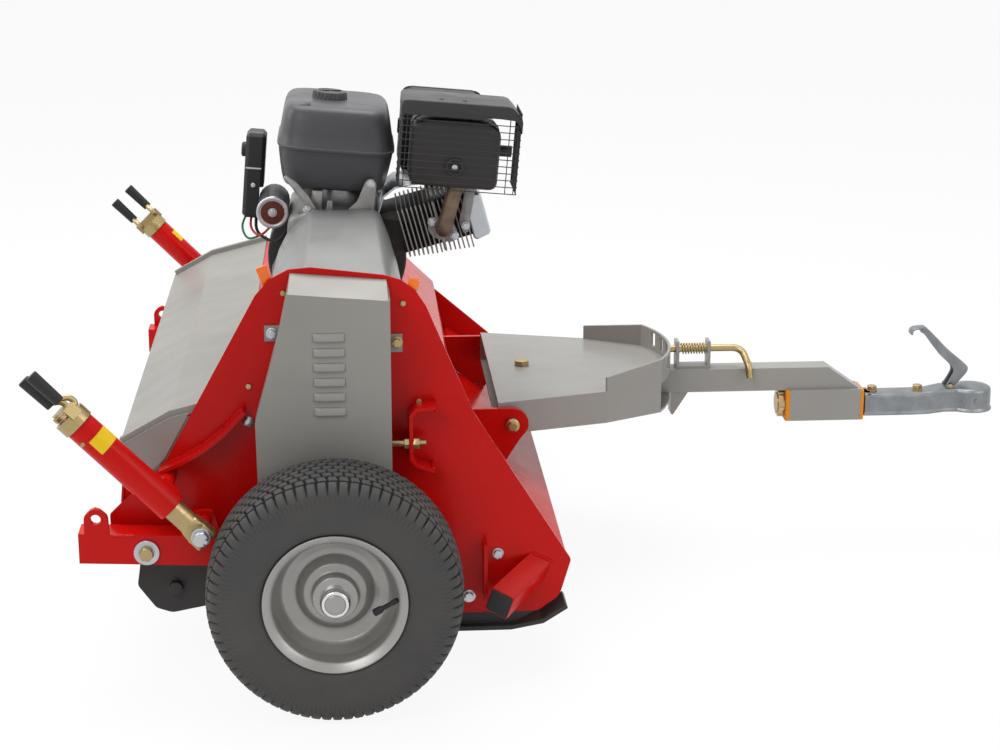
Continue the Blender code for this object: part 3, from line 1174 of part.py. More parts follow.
def spring(start, end):
    """One unbroken coil between two seats, closing up at both ends."""
    count = SPRING_CURLS * SPRING_CURL_POINTS
    points = []
    for i in range(count + 1):
        share = i / count
        turn = 2 * pi * SPRING_CURLS * share
        along = start + (end - start) * share
        points.append(Vector((along, SPRING_R * cos(turn), PIN_Z + SPRING_R * sin(turn))))
    gap = min((points[i] - points[k]).length for i in range(len(points))
              for k in range(i + SPRING_CURL_POINTS - 2, len(points))) - 2 * SPRING_WIRE
    print("index_spring: least gap between curls %.2f mm" % (gap * 1000))
    return wire(points, SPRING_WIRE, 1)


def coupler(swing, middle, nut_face):
    """The swivel shaft, the ball coupler on it and the latch lever."""
    roll = pivot("coupler_roll", (COUPLER_REAR, 0.0, middle), swing)
    half, high, low = COUPLER_WIDTH / 2, middle + COUPLER_HIGH / 2, middle - COUPLER_HIGH / 2
    lever_z = high + LEVER_RISE
    rod = bar((nut_face - 0.014, 0, middle), (COUPLER_REAR - 0.0008, 0, middle), SWIVEL_R, 20)
    thin = bar((COUPLER_REAR - 0.020, 0, middle), (COUPLER_REAR + 0.128, 0, middle), SWIVEL_R - 0.0025, 16)
    nut = bar((nut_face - 0.012, 0, middle), (nut_face, 0, middle), SWIVEL_R + 0.0085, 6)
    bolts, heads = (COUPLER_REAR + 0.021, COUPLER_REAR + 0.111), []
    for x in bolts:
        heads.append(bar((x, 0, low - 0.006), (x, 0, high + 0.008), 0.0055, 8))
        heads.append(bar((x, 0, high + GAP), (x, 0, high + 0.008), 0.0095, 6))
    piece("swivel_shaft", rod, YELLOW_ZINC, roll, joins=[thin, nut] + heads)

    neck = box((COUPLER_REAR, -half, low), (HEAD_X, half, high), 0.004, 1)
    foot = low - 0.001
    dome = turned([(0.0, high + 0.0035), (HEAD_R * 0.55, high + 0.0020), (HEAD_R * 0.88, high - 0.006),
                   (HEAD_R, high - 0.019), (HEAD_R, foot), (0.0, foot)], Matrix.Translation((HEAD_X, 0, 0)), 24)
    ear_y, pin_r = 0.0165, 0.003
    ears = [box((LEVER_X - 0.008, side * ear_y - 0.002, high - 0.003),
                (LEVER_X + 0.008, side * ear_y + 0.002, lever_z + 0.006)) for side in (-1, 1)]
    pin = bar((LEVER_X, -ear_y, lever_z), (LEVER_X, ear_y, lever_z), pin_r, 12)
    wall = COUPLER_WALL
    channel = box((COUPLER_REAR - 0.01, -half + wall, low - 0.01), (HEAD_X - 0.050, half - wall, high - wall))
    ball_z = low + 0.016
    socket = turned([(0.0, ball_z + BALL_R), (BALL_R * 0.5, ball_z + BALL_R * 0.866),
                     (BALL_R * 0.866, ball_z + BALL_R * 0.5), (BALL_R, ball_z), (BALL_R, low - 0.02),
                     (0.0, low - 0.02)],
                    Matrix.Translation((HEAD_X, 0, 0)), 20)
    cuts = [bar((x, 0, high - 0.01), (x, 0, high + 0.01), 0.0062, 12) for x in bolts] + [channel, socket]
    piece("coupler_body", neck, ZINC, roll, joins=[dome] + ears + [pin], cuts=cuts)

    latch = pivot("coupler_latch", (LEVER_X, 0.0, lever_z), roll)
    outer = [(0.0045, 0.0005), (0.0160, 0.0105), (0.0318, 0.0345), (-0.0635, 0.1145), (-0.0740, 0.1120),
             (-0.0786, 0.1011)]
    inner = [(-0.0600, 0.1060), (-0.0075, 0.0445), (-0.0075, 0.0030)]
    line = [(LEVER_X + a, lever_z + b) for a, b in outer]
    cheek = line[:4] + [(LEVER_X + a, lever_z + b) for a, b in inner]
    half = 0.0125
    strip = flat(ribbon(line, LEVER_THICK), -half, half)
    cheeks = [flat(cheek, *span(side, half - LEVER_THICK, half)) for side in (-1, 1)]
    barrel = bar((LEVER_X, -0.0138, lever_z), (LEVER_X, 0.0138, lever_z), 0.0068, SMALL)
    hole = bar((LEVER_X, -0.02, lever_z), (LEVER_X, 0.02, lever_z), pin_r + RUN, SMALL)
    piece("coupler_lever", strip, ZINC, latch, joins=cheeks + [barrel], cuts=[hole])


arm_pivots = {
    side: pivot("arm_lift_" + label, (PIVOT_X, side * (ARM_INNER + ARM_WIDTH / 2), PIVOT_Z))
    for label, side in (("right", -1), ("left", 1))
}
side_plates()
deck()
hitch_ears()
engine()
belt_drive()
shaft_guard()
rotor()
roller_and_skids()
wheel_arms()
wheels()
jacks()
a_frame()
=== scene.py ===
from math import atan2, cos, pi, radians, sin

import bmesh
import bpy
import numpy as np
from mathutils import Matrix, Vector


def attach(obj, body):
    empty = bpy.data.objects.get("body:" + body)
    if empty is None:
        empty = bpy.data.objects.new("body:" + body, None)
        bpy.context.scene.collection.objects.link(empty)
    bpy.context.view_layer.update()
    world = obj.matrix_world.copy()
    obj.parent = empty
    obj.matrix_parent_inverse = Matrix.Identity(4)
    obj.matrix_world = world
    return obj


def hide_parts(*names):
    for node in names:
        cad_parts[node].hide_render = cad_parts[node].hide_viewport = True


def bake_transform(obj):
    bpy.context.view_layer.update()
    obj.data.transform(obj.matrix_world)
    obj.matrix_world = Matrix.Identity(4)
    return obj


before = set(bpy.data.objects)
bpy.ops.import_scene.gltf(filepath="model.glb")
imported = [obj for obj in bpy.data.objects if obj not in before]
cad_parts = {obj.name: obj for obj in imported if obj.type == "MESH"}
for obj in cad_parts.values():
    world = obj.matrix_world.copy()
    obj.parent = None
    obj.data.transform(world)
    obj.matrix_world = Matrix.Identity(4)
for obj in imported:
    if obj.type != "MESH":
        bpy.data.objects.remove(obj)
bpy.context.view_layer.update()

# ---------------------------------------------------------------- deck and end plates
# The deck is welded from bent and flat steel sheet: two end plates, a bent shell between them, a sloped
# apron in front and two hitch ears. All of it is sprayed in one gloss red over its weld beads.


def coloured(name, colour, shade, rough, metal=0.0, patch=3.0, grain=260.0, bump=0.04, depth=0.0004, coat=0.0,
             dust=None, shine=0.2):
    """A finish on Object coordinates. Slow noise of size patch mixes the colour with its shade, a second noise
    moves the roughness between the two values of rough, and fine noise of size grain raises the surface by bump
    times depth. Dust is (tint, low, high, amount): its share falls from amount to none between two heights."""
    made = bpy.data.materials.new(name)
    made.use_nodes = True
    nodes, links = made.node_tree.nodes, made.node_tree.links
    shader = nodes["Principled BSDF"]
    place = nodes.new("ShaderNodeTexCoord")

    def noise(scale, detail):
        """Fractal noise over the piece's own coordinates."""
        step = nodes.new("ShaderNodeTexNoise")
        step.inputs["Scale"].default_value = scale
        step.inputs["Detail"].default_value = detail
        step.inputs["Roughness"].default_value = 0.55
        links.new(place.outputs["Object"], step.inputs["Vector"])
        return step.outputs["Fac"]

    def ranged(value, low, high, first=0.3, last=0.7):
        """The value's range from first to last, spread evenly from low to high."""
        step = nodes.new("ShaderNodeMapRange")
        step.inputs["From Min"].default_value = first
        step.inputs["From Max"].default_value = last
        step.inputs["To Min"].default_value = low
        step.inputs["To Max"].default_value = high
        links.new(value, step.inputs["Value"])
        return step.outputs["Result"]

    mix = nodes.new("ShaderNodeMix")
    mix.data_type = "RGBA"
    mix.inputs["A"].default_value = (*colour, 1.0)
    mix.inputs["B"].default_value = (*shade, 1.0)
    links.new(ranged(noise(patch, 5.0), 0.0, 1.0), mix.inputs["Factor"])
    skin = mix.outputs["Result"]
    if dust:
        tint, low, high, amount = dust
        split = nodes.new("ShaderNodeSeparateXYZ")
        links.new(place.outputs["Object"], split.inputs["Vector"])
        height = ranged(split.outputs["Z"], amount, 0.0, low, high)
        blotch = nodes.new("ShaderNodeMath")
        blotch.operation = "MULTIPLY"
        links.new(height, blotch.inputs[0])
        links.new(ranged(noise(22.0, 6.0), 0.2, 1.0), blotch.inputs[1])
        over = nodes.new("ShaderNodeMix")
        over.data_type = "RGBA"
        over.inputs["B"].default_value = (*tint, 1.0)
        links.new(skin, over.inputs["A"])
        links.new(blotch.outputs["Value"], over.inputs["Factor"])
        skin = over.outputs["Result"]
    links.new(skin, shader.inputs["Base Color"])
    links.new(ranged(noise(patch * 5.0, 4.0), rough[0], rough[1]), shader.inputs["Roughness"])
    shader.inputs["Metallic"].default_value = metal
    shader.inputs["Specular IOR Level"].default_value = shine
    shader.inputs["Coat Weight"].default_value = coat
    shader.inputs["Coat Roughness"].default_value = 0.12
    lift = nodes.new("ShaderNodeBump")
    lift.inputs["Strength"].default_value = bump
    lift.inputs["Distance"].default_value = depth
    links.new(noise(grain, 2.0), lift.inputs["Height"])
    links.new(lift.outputs["Normal"], shader.inputs["Normal"])
    made.diffuse_color = (*colour, 1.0)
    return made


def dress(names, finish, edge=0.0007):
    """CAD nodes keep their solids and take a finish. Their loose triangles are merged into flat faces, and every
    edge sharper than 35 degrees is rounded by the size of edge, as on rolled and painted steel."""
    for name in names.split():
        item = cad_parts[name]
        item.data.materials.clear()
        item.data.materials.append(finish)
        if edge:
            weld = item.modifiers.new("merged", "WELD")
            weld.merge_threshold = 0.00002
            flatten = item.modifiers.new("flat faces", "DECIMATE")
            flatten.decimate_type = "DISSOLVE"
            flatten.angle_limit = radians(0.5)
            soft = item.modifiers.new("edges", "BEVEL")
            soft.width = edge
            soft.segments = 2
            soft.limit_method = "ANGLE"
            soft.angle_limit = radians(35)


red_paint = coloured("red_paint", (0.580, 0.005, 0.003), (0.460, 0.004, 0.003), (0.20, 0.30), coat=0.04,
                     grain=240.0, bump=0.025, depth=0.0003, dust=((0.30, 0.10, 0.07), 0.02, 0.22, 0.05), shine=0.12)
dress("side_plate_right side_plate_left deck_shell front_apron hitch_ear_right hitch_ear_left tension_bracket",
      red_paint)


def web(points, around=True, along=False, capped=True):
    """Vertices and faces of a surface through a grid of points. Columns run round the shape and rows along it;
    one face closes each end row unless the rows run in a ring too."""
    rows, columns = points.shape[:2]
    index = np.arange(rows * columns).reshape(rows, columns)
    if around:
        index = np.hstack((index, index[:, :1]))
    if along:
        index = np.vstack((index, index[:1]))
    quads = np.stack((index[:-1, :-1], index[:-1, 1:], index[1:, 1:], index[1:, :-1]), axis=-1)
    faces = quads.reshape(-1, 4).tolist()
    if capped and around and not along:
        faces += [index[0, :columns][::-1].tolist(), index[-1, :columns].tolist()]
    return points.reshape(-1, 3), faces


def make(name, shapes, finish, body, crease=38.0):
    """One object from several (vertices, faces) shapes, with its faces outwards. It rides on a CAD body where one
    is named, and edges are sharp where two faces meet at more than crease degrees."""
    points, faces, start = [], [], 0
    for corners, sides in shapes:
        points.append(corners)
        faces += [[corner + start for corner in side] for side in sides]
        start += len(corners)
    mesh = bpy.data.meshes.new(name)
    mesh.from_pydata(np.concatenate(points).tolist(), [], faces)
    work = bmesh.new()
    work.from_mesh(mesh)
    bmesh.ops.remove_doubles(work, verts=work.verts, dist=0.000001)
    bmesh.ops.recalc_face_normals(work, faces=work.faces)
    work.to_mesh(mesh)
    work.free()
    mesh.shade_smooth()
    mesh.set_sharp_from_angle(angle=radians(crease))
    mesh.materials.append(finish)
    item = bpy.data.objects.new(name, mesh)
    bpy.context.scene.collection.objects.link(item)
    if body:
        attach(item, body)
    return item


def across(axis):
    """Two directions square to an axis and to each other, and the axis, all of length one."""
    axis = np.asarray(axis, float)
    axis = axis / np.linalg.norm(axis)
    spare = np.array((0.0, 0.0, 1.0)) if abs(axis[2]) < 0.9 else np.array((1.0, 0.0, 0.0))
    first = np.cross(spare, axis)
    first /= np.linalg.norm(first)
    return first, np.cross(axis, first), axis


def lathe(profile, centre, axis, sides):
    """A turned shape: for each (height, radius) of the profile, centre + height * axis + radius * (cos, sin)."""
    profile = np.asarray(profile, float)
    u, v, w = across(axis)
    turn = np.arange(sides) * 2 * pi / sides
    ring = np.cos(turn)[:, None] * u + np.sin(turn)[:, None] * v
    return web(np.asarray(centre) + profile[:, None, :1] * w + profile[:, None, 1:] * ring)


def corner_curve(before, corner, after, radius, steps):
    """A rounded corner, the quadratic curve start * (1 - s)^2 + corner * 2 s (1 - s) + end * s^2. Its start and end
    lie at radius from the corner, or at 0.49 of the shorter side where that is less."""
    share = np.linspace(0.0, 1.0, steps + 1)[:, None]
    first, last = before - corner, after - corner
    reach = min(radius, np.linalg.norm(first) * 0.49, np.linalg.norm(last) * 0.49)
    start = corner + first * reach / np.linalg.norm(first)
    end = corner + last * reach / np.linalg.norm(last)
    return start * (1 - share) ** 2 + corner * 2 * share * (1 - share) + end * share ** 2


def filleted(corners, radius, steps=5):
    """A line whose inner corners are rounded and whose two ends are kept."""
    line = np.asarray(corners, float)
    curves = [corner_curve(*three, radius, steps) for three in zip(line, line[1:], line[2:])]
    return np.concatenate([line[:1]] + curves + [line[-1:]])


def tube(path, radius, sides):
    """A round bar along a path: point + radius * (cos * first + sin * second), with both directions square to the
    path. Each ring's first direction is the last ring's, less its part along the path."""
    path = np.asarray(path, float)
    ways = np.gradient(path, axis=0)
    ways /= np.linalg.norm(ways, axis=1)[:, None]
    side = across(ways[0])[0]
    sides_of = []
    for way in ways:
        side = side - way * side.dot(way)
        side = side / np.linalg.norm(side)
        sides_of.append(side)
    first = np.array(sides_of)
    second = np.cross(ways, first)
    turn = np.arange(sides) * 2 * pi / sides
    size = np.broadcast_to(np.asarray(radius, float), (len(path),))[:, None, None]
    rings = np.cos(turn)[None, :, None] * first[:, None] + np.sin(turn)[None, :, None] * second[:, None]
    return web(path[:, None] + rings * size)


def weld_bead(start, end, size=0.003, pitch=0.004):
    """A weld run: a bar whose radius is size * (0.86 + 0.14 * |cos(pi * distance / pitch)|), as the metal was laid
    in ripples. It falls to a fifth over the last 1.6 mm at each end."""
    start, end = np.asarray(start, float), np.asarray(end, float)
    long = np.linalg.norm(end - start)
    along = np.linspace(0.0, 1.0, max(8, int(long / pitch * 6)))
    swell = size * (0.86 + 0.14 * np.abs(np.cos(pi * along * long / pitch)))
    swell *= np.clip(np.minimum(along, 1 - along) * long / 0.002 + 0.2, 0.2, 1.0)
    return tube(start + along[:, None] * (end - start), swell, 8)


PLATE_OUT = 0.622
STUB_ROOT = ((-0.0709, 0.1980), (-0.0373, 0.1813), (-0.0504, 0.1483), (-0.0840, 0.1650))
FRONT_EDGE = ((-0.1496, 0.2215), (-0.1496, 0.1260))
RIB_FOOT = ((-0.677, 0.3625), (-0.641, 0.3775), (-0.606, 0.3975), (-0.571, 0.4255), (-0.541, 0.4585))
EAR_FACES = (-0.256, -0.266, 0.256, 0.266)
beads = []
for side in (-1, 1):
    y = side * PLATE_OUT
    for line in (FRONT_EDGE, STUB_ROOT + STUB_ROOT[:1], RIB_FOOT):
        beads += [weld_bead((a[0], y, a[1]), (b[0], y, b[1])) for a, b in zip(line, line[1:])]
for y in EAR_FACES:
    beads.append(weld_bead((-0.172, y, 0.2725), (-0.104, y, 0.246), 0.0028))
    beads.append(weld_bead((-0.172, y, 0.276), (-0.1785, y, 0.338), 0.0028))
for x, z in ((-0.2300, 0.4570), (-0.2340, 0.3605)):
    beads.append(weld_bead((x, -PLATE_OUT, z), (x, -0.661, z), 0.0026))
make("weld_beads", beads, red_paint, "chassis")

# ---------------------------------------------------------------- rear hood, shaft guard and belt cover
# Three bent sheets in a dull silver-grey paint: the hood over the deck's rear, the guard over the engine shaft,
# and the cover over the belt, which is screwed on by two tabs and has six pressed louvres.
grey_paint = coloured("grey_paint", (0.300, 0.288, 0.268), (0.255, 0.246, 0.228), (0.34, 0.50), metal=0.15,
                      grain=620.0, bump=0.06, depth=0.0003, dust=((0.34, 0.30, 0.24), 0.0, 0.35, 0.12))
pale_grey = coloured("pale_grey_paint", (0.270, 0.270, 0.267), (0.225, 0.225, 0.223), (0.30, 0.44), metal=0.25,
                     grain=620.0, bump=0.05, depth=0.0003)
dress("belt_cover rear_hood", grey_paint)
GUARD_FAR = ((-0.5005, 0.4706), (-0.5005, 0.5600), (-0.4960, 0.6150), (-0.4850, 0.6550), (-0.4690, 0.6850),
             (-0.4500, 0.7060), (-0.4340, 0.7180), (-0.4260, 0.7229), (-0.3180, 0.7229), (-0.3090, 0.7140),
             (-0.2960, 0.6800), (-0.2820, 0.6300), (-0.2680, 0.5600), (-0.2580, 0.4706))
GUARD_NEAR = ((-0.5009, 0.4706), (-0.5009, 0.5300), (-0.4990, 0.5650), (-0.4930, 0.5920), (-0.4840, 0.6140),
              (-0.4680, 0.6350), (-0.4520, 0.6490), (-0.4430, 0.6549), (-0.3020, 0.6549), (-0.2950, 0.6480),
              (-0.2830, 0.6180), (-0.2710, 0.5800), (-0.2580, 0.5250), (-0.2452, 0.4706))
GUARD_FAR_Y, GUARD_LONG = -0.3306, 0.2858
COVER_FACE = -0.687
LOUVRE_X = (-0.4245, -0.3735)
LOUVRE_Z = [0.4675 + 0.0243 * i for i in range(6)]
LOUVRE_RISE = 0.0052


def louvre(z):
    """A half-open scoop: height = rise * sqrt(1 - end^6) * sin(pi * t / 2)^0.7 over its depth t, so it is flush at
    its upper edge and at both ends, and stands off at its lower edge."""
    end, t = np.meshgrid(np.linspace(-1, 1, 33), np.linspace(0, 1, 9), indexing="ij")
    x = (LOUVRE_X[0] + LOUVRE_X[1]) / 2 + end * (LOUVRE_X[1] - LOUVRE_X[0]) / 2
    rise = LOUVRE_RISE * np.sqrt(np.clip(1 - np.abs(end) ** 6, 0, 1)) * np.sin(pi * t / 2) ** 0.7
    return web(np.stack((x, COVER_FACE + 0.0004 - rise, z + 0.0075 - 0.013 * t), axis=-1), around=False)


def thicken(item, thickness, offset):
    """Gives an open surface its sheet's thickness: half to each side with offset 0, all inwards with -1."""
    sheet = item.modifiers.new("sheet", "SOLIDIFY")
    sheet.thickness = thickness
    sheet.offset = offset


thicken(make("louvres", [louvre(z) for z in LOUVRE_Z], grey_paint, "chassis"), 0.0012, 0.0)


def slab(outline, thick, origin, u, v, edge):
    """A flat outline between two faces. The outline is drawn in by the edge's size at each face, along its own
    normals, so that it has a round edge. Its points are origin + a * u + b * v, and the thickness goes by u x v."""
    outline = np.asarray(outline, float)
    u, v, origin = (np.asarray(part, float) for part in (u, v, origin))
    ways = np.roll(outline, -1, 0) - np.roll(outline, 1, 0)
    ways /= np.linalg.norm(ways, axis=1)[:, None] + 1e-12
    inward = np.stack((-ways[:, 1], ways[:, 0]), axis=-1)
    area = np.sum(outline[:, 0] * np.roll(outline[:, 1], -1) - np.roll(outline[:, 0], -1) * outline[:, 1])
    inward *= np.sign(area)
    levels = ((edge, 0.0), (edge * 0.3, edge * 0.3), (0.0, edge), (0.0, thick - edge),
              (edge * 0.3, thick - edge * 0.3), (edge, thick))
    rows = [origin + (outline + inward * inset)[:, :1] * u + (outline + inward * inset)[:, 1:] * v
            + np.cross(u, v) * height for inset, height in levels]
    return web(np.array(rows))


def rounded(corners, radius, steps=5):
    """A closed outline whose corners are all rounded."""
    line = np.asarray(corners, float)
    return np.concatenate([corner_curve(*three, radius, steps)
                           for three in zip(np.roll(line, 1, 0), line, np.roll(line, -1, 0))])


def rectangle(low, high, radius):
    """The outline of a rectangle between two corners, rounded by radius."""
    return rounded(((low[0], low[1]), (high[0], low[1]), (high[0], high[1]), (low[0], high[1])), radius)


right, left, ahead, up = (0, -1, 0), (0, 1, 0), (1, 0, 0), (0, 0, 1)


def plate(outline, thick, y, edge=0.0006):
    """A slab with an outline in x and z, whose far face is at y and which comes towards the belt side, -y."""
    return slab(outline, thick, (0, y, 0), ahead, up, edge)


def at_depth(line, y):
    """The points of a line in x and z, all at one depth y."""
    return np.column_stack((line[:, 0], np.full(len(line), y), line[:, 1]))


# A near-black finish for painted shade: the dark insides of slots and holes.
shadow_black = coloured("shadow_black", (0.012, 0.012, 0.013), (0.006, 0.006, 0.007), (0.7, 0.9))
# Painted shade: the dark gap under each louvre's lip is a thin black slab laid on the cover.
slots = [plate(rectangle((LOUVRE_X[0] + 0.003, z - 0.0052), (LOUVRE_X[1] - 0.003, z - 0.0005), 0.001), 0.0004,
               COVER_FACE - 0.0002, 0.0001) for z in LOUVRE_Z]
make("louvre_slot_shade", slots, shadow_black, "chassis")

guard_rows = []
for share in np.linspace(0.0, 1.0, 8):
    line = filleted(np.array(GUARD_FAR) * (1 - share) + np.array(GUARD_NEAR) * share, 0.006, 3)
    guard_rows.append(at_depth(line, GUARD_FAR_Y - GUARD_LONG * share))
tunnel = make("guard_tunnel", [web(np.array(guard_rows), around=False)], pale_grey, "chassis", 22)
thicken(tunnel, 0.0025, -1.0)
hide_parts("shaft_guard")

# ---------------------------------------------------------------- bolts
# Hexagon bolts with flanges or washers, in yellow and in bright zinc, hold the covers, the skids and the arms.
# Each head is a hexagon turned down at its corners, with a domed face.
yellow_zinc = coloured("yellow_zinc", (0.40, 0.33, 0.14), (0.42, 0.29, 0.16), (0.24, 0.40), metal=0.9, patch=45.0,
                       grain=300.0, bump=0.02, depth=0.0002)
bright_zinc = coloured("bright_zinc", (0.50, 0.52, 0.54), (0.42, 0.44, 0.47), (0.26, 0.36), metal=0.92, patch=30.0,
                       grain=300.0, bump=0.02, depth=0.0002)


def bolt(centre, axis, size, washer=0.0, turn=0.3):
    """A hexagon head: radius = size / cos(angle to the nearest flat's middle), and no more than the radius of the
    corner cut, which falls towards the face. A washer of the given radius lies under it."""
    u, v, w = across(axis)
    around = turn + np.arange(48) * 2 * pi / 48
    flat = size / np.cos((around - turn + pi / 6) % (pi / 3) - pi / 6)
    base = washer and 0.0014
    tall = size * 1.05
    rows = []
    if washer:
        rows += [(0.0, np.full(48, washer)), (base * 0.8, np.full(48, washer)), (base, np.full(48, washer * 0.96))]
    for height, limit in ((0.0, 9.0), (tall * 0.82, 9.0), (tall * 0.93, size * 1.08), (tall, size * 0.98),
                          (tall * 1.02, size * 0.5)):
        rows.append((base + height, np.minimum(flat, limit)))
    grid = np.array([np.asarray(centre) + h * w + (r * np.cos(around))[:, None] * u + (r * np.sin(around))[:, None] * v
                     for h, r in rows])
    return web(grid)


def dome(centre, axis, radius, height=None):
    """A round head: height * sqrt(1 - (r / radius)^2) over a short straight side."""
    t = np.linspace(0, pi / 2, 9)[1:]
    crown = np.column_stack((0.0004 + (height or radius * 0.55) * np.sin(t), radius * np.cos(t) * 0.999 + 1e-5))
    return lathe([(-0.0005, radius), (0.0004, radius), *crown], centre, axis, 32)


BOLT_FACE, BRACKET_FACE = 0.6222, 0.6253
yellow = [bolt((x, -BOLT_FACE, z), right, 0.0042) for x, z in
          ((-0.4705, 0.6474), (-0.2796, 0.6277), (-0.5298, 0.4945), (-0.2557, 0.4636))]
yellow.append(bolt((-0.2905, -BRACKET_FACE, 0.5637), right, 0.0066, 0.0095, 0.1))
bright = [bolt((-0.4898, -BRACKET_FACE, 0.5819), right, 0.0064, 0.0095),
          bolt((-0.1757, -BOLT_FACE, 0.1236), right, 0.0075, 0.011),
          dome((-0.5318, -BOLT_FACE, 0.4345), right, 0.0095),
          bolt((-0.1272, -BOLT_FACE, 0.1975), right, 0.0068, 0.0095)]
for x, z, size in ((-0.520, 0.430, 0.0062), (-0.240, 0.400, 0.0062), (-0.1757, 0.1236, 0.0075),
                   (-0.430, 0.120, 0.0075)):
    bright.append(bolt((x, BOLT_FACE, z), left, size, size * 1.45))
bright += [bolt((x, BOLT_FACE, 0.40), left, 0.0044) for x in (-0.60, -0.48, -0.36)]
make("yellow_bolts", yellow, yellow_zinc, "chassis")
make("bright_bolts", bright, bright_zinc, "chassis")

# ---------------------------------------------------------------- foot stubs, hood ends and shell ends
# A short square steel tube leans forwards from the foot of each end plate. Folded triangles of grey sheet close the
# hood's ends, strips of red sheet close the shell's, and one long weld joins the shell to the apron in front.
SIDES = (("right", -1), ("left", 1))
STUB_TIP = ((-0.1403, 0.1610), (-0.1055, 0.1405), (-0.1183, 0.1055), (-0.1530, 0.1260))
STUB_FROM, STUB_LONG = 0.6205, 0.0647


def scaled(outline, share):
    """An outline drawn larger or smaller about the mean of its points."""
    middle = np.mean(outline, axis=0)
    return middle + (outline - middle) * share


for label, side in SIDES:
    rings = []
    for share in np.linspace(0.0, 1.0, 12):
        square = rounded(scaled(np.array(STUB_ROOT) * (1 - share) + np.array(STUB_TIP) * share, 1.035), 0.003, 4)
        rings.append(at_depth(square, side * (STUB_FROM + STUB_LONG * share)))
    make("square_stub_" + label, [web(np.array(rings))], red_paint, "chassis")
fold = rounded(((-0.7385, 0.3955), (-0.6955, 0.3495), (-0.6500, 0.3420), (-0.5650, 0.4640), (-0.6275, 0.4478),
                (-0.6581, 0.4403)), 0.002, 2)
make("hood_ends", [plate(fold, 0.0024, y, 0.0004) for y in (-0.6142, 0.6166)], grey_paint, "chassis")
make("apron_weld", [weld_bead((-0.1600, -0.6165, 0.2655), (-0.1600, 0.6165, 0.2655), 0.0036, 0.0080)], red_paint,
     "chassis")
wall_line = ((-0.7440, 0.2620), (-0.7325, 0.3968), (-0.6568, 0.4383), (-0.5405, 0.4682), (-0.2968, 0.4682),
             (-0.2405, 0.4262), (-0.1845, 0.3720), (-0.1780, 0.3400), (-0.3000, 0.4000), (-0.6000, 0.4000),
             (-0.6900, 0.2900))
make("shell_ends", [plate(wall_line, 0.0025, y, 0.0004) for y in (-0.6103, 0.6128)], red_paint, "chassis")

# ---------------------------------------------------------------- plugs
# Black moulded plastic plugs close the open ends of the two square stubs at the deck's front corners. Each is a
# little smaller than its tube and is pushed in by hand.
plug_black = coloured("plug_plastic", (0.022, 0.022, 0.023), (0.030, 0.030, 0.031), (0.40, 0.55), grain=500.0,
                      bump=0.08)
plug_line = rounded(scaled(np.array(STUB_TIP), 0.96), 0.004)
make("stub_plugs", [plate(plug_line, 0.0040, y, 0.0010) for y in (-0.6845, 0.6885)], plug_black, "chassis")

# ---------------------------------------------------------------- side reflectors
# Two oblong reflectors of clear amber plastic are stuck to the inner face of the belt-side end plate. Each follows
# the slope of the plate's edge beside it.
amber = coloured("amber_plastic", (0.95, 0.22, 0.008), (0.80, 0.13, 0.004), (0.10, 0.22), grain=300.0, bump=0.3,
                 depth=0.0006, coat=0.6)
reflectors = []
for x, z, lean in ((-0.5005, 0.6760, 0.35), (-0.2642, 0.6520, -0.35)):
    u, v = np.array((cos(lean), 0.0, sin(lean))), np.array((-sin(lean), 0.0, cos(lean)))
    reflectors.append(slab(rectangle((-0.009, -0.016), (0.009, 0.014), 0.003), 0.006, (x, -0.6100, z), u, v, 0.0012))
make("reflectors", reflectors, amber, "chassis")

# ---------------------------------------------------------------- engine: case, barrel and head
# The aluminium case carries a barrel and head that lie towards the tongue, covered in thin cast fins. A pressed
# rocker cover closes the head. The whole engine leans nose-down on the deck, five degrees about its crankshaft.
cast = coloured("cast_aluminium", (0.300, 0.300, 0.295), (0.200, 0.198, 0.192), (0.36, 0.52), metal=0.55, patch=60.0,
                grain=1400.0, bump=0.15, depth=0.0003, dust=((0.16, 0.13, 0.10), 0.40, 0.60, 0.20))
dark_cast = coloured("dark_casting", (0.060, 0.058, 0.055), (0.034, 0.033, 0.032), (0.48, 0.66), metal=0.35,
                     patch=40.0, grain=1200.0, bump=0.2, depth=0.0003)
fin_metal = coloured("fin_aluminium", (0.300, 0.295, 0.285), (0.200, 0.196, 0.188), (0.40, 0.56), metal=0.5,
                     patch=50.0, grain=1200.0, bump=0.15, depth=0.0003)
dress("rocker_cover", bright_zinc, 0.0030)
CRANK = np.array((-0.386, 0.0, 0.585))
LEAN = radians(5)
ENGINE_SIDE = -0.330


def tipped(shapes):
    """The engine's shapes, drawn level from the crankshaft, in their place: crank + (x cos + z sin, z cos - x sin)
    of the lean."""
    turned = []
    for corners, faces in shapes:
        x, z = corners[:, 0], corners[:, 2]
        moved = np.stack((CRANK[0] + x * cos(LEAN) + z * sin(LEAN), corners[:, 1],
                          CRANK[2] - x * sin(LEAN) + z * cos(LEAN)), axis=-1)
        turned.append((moved, faces))
    return turned


def panel(low, high, radius, edge):
    """A rounded block between two corners, its round outline seen from the belt side."""
    return plate(rectangle((low[0], low[2]), (high[0], high[2]), radius), high[1] - low[1], high[1], edge)


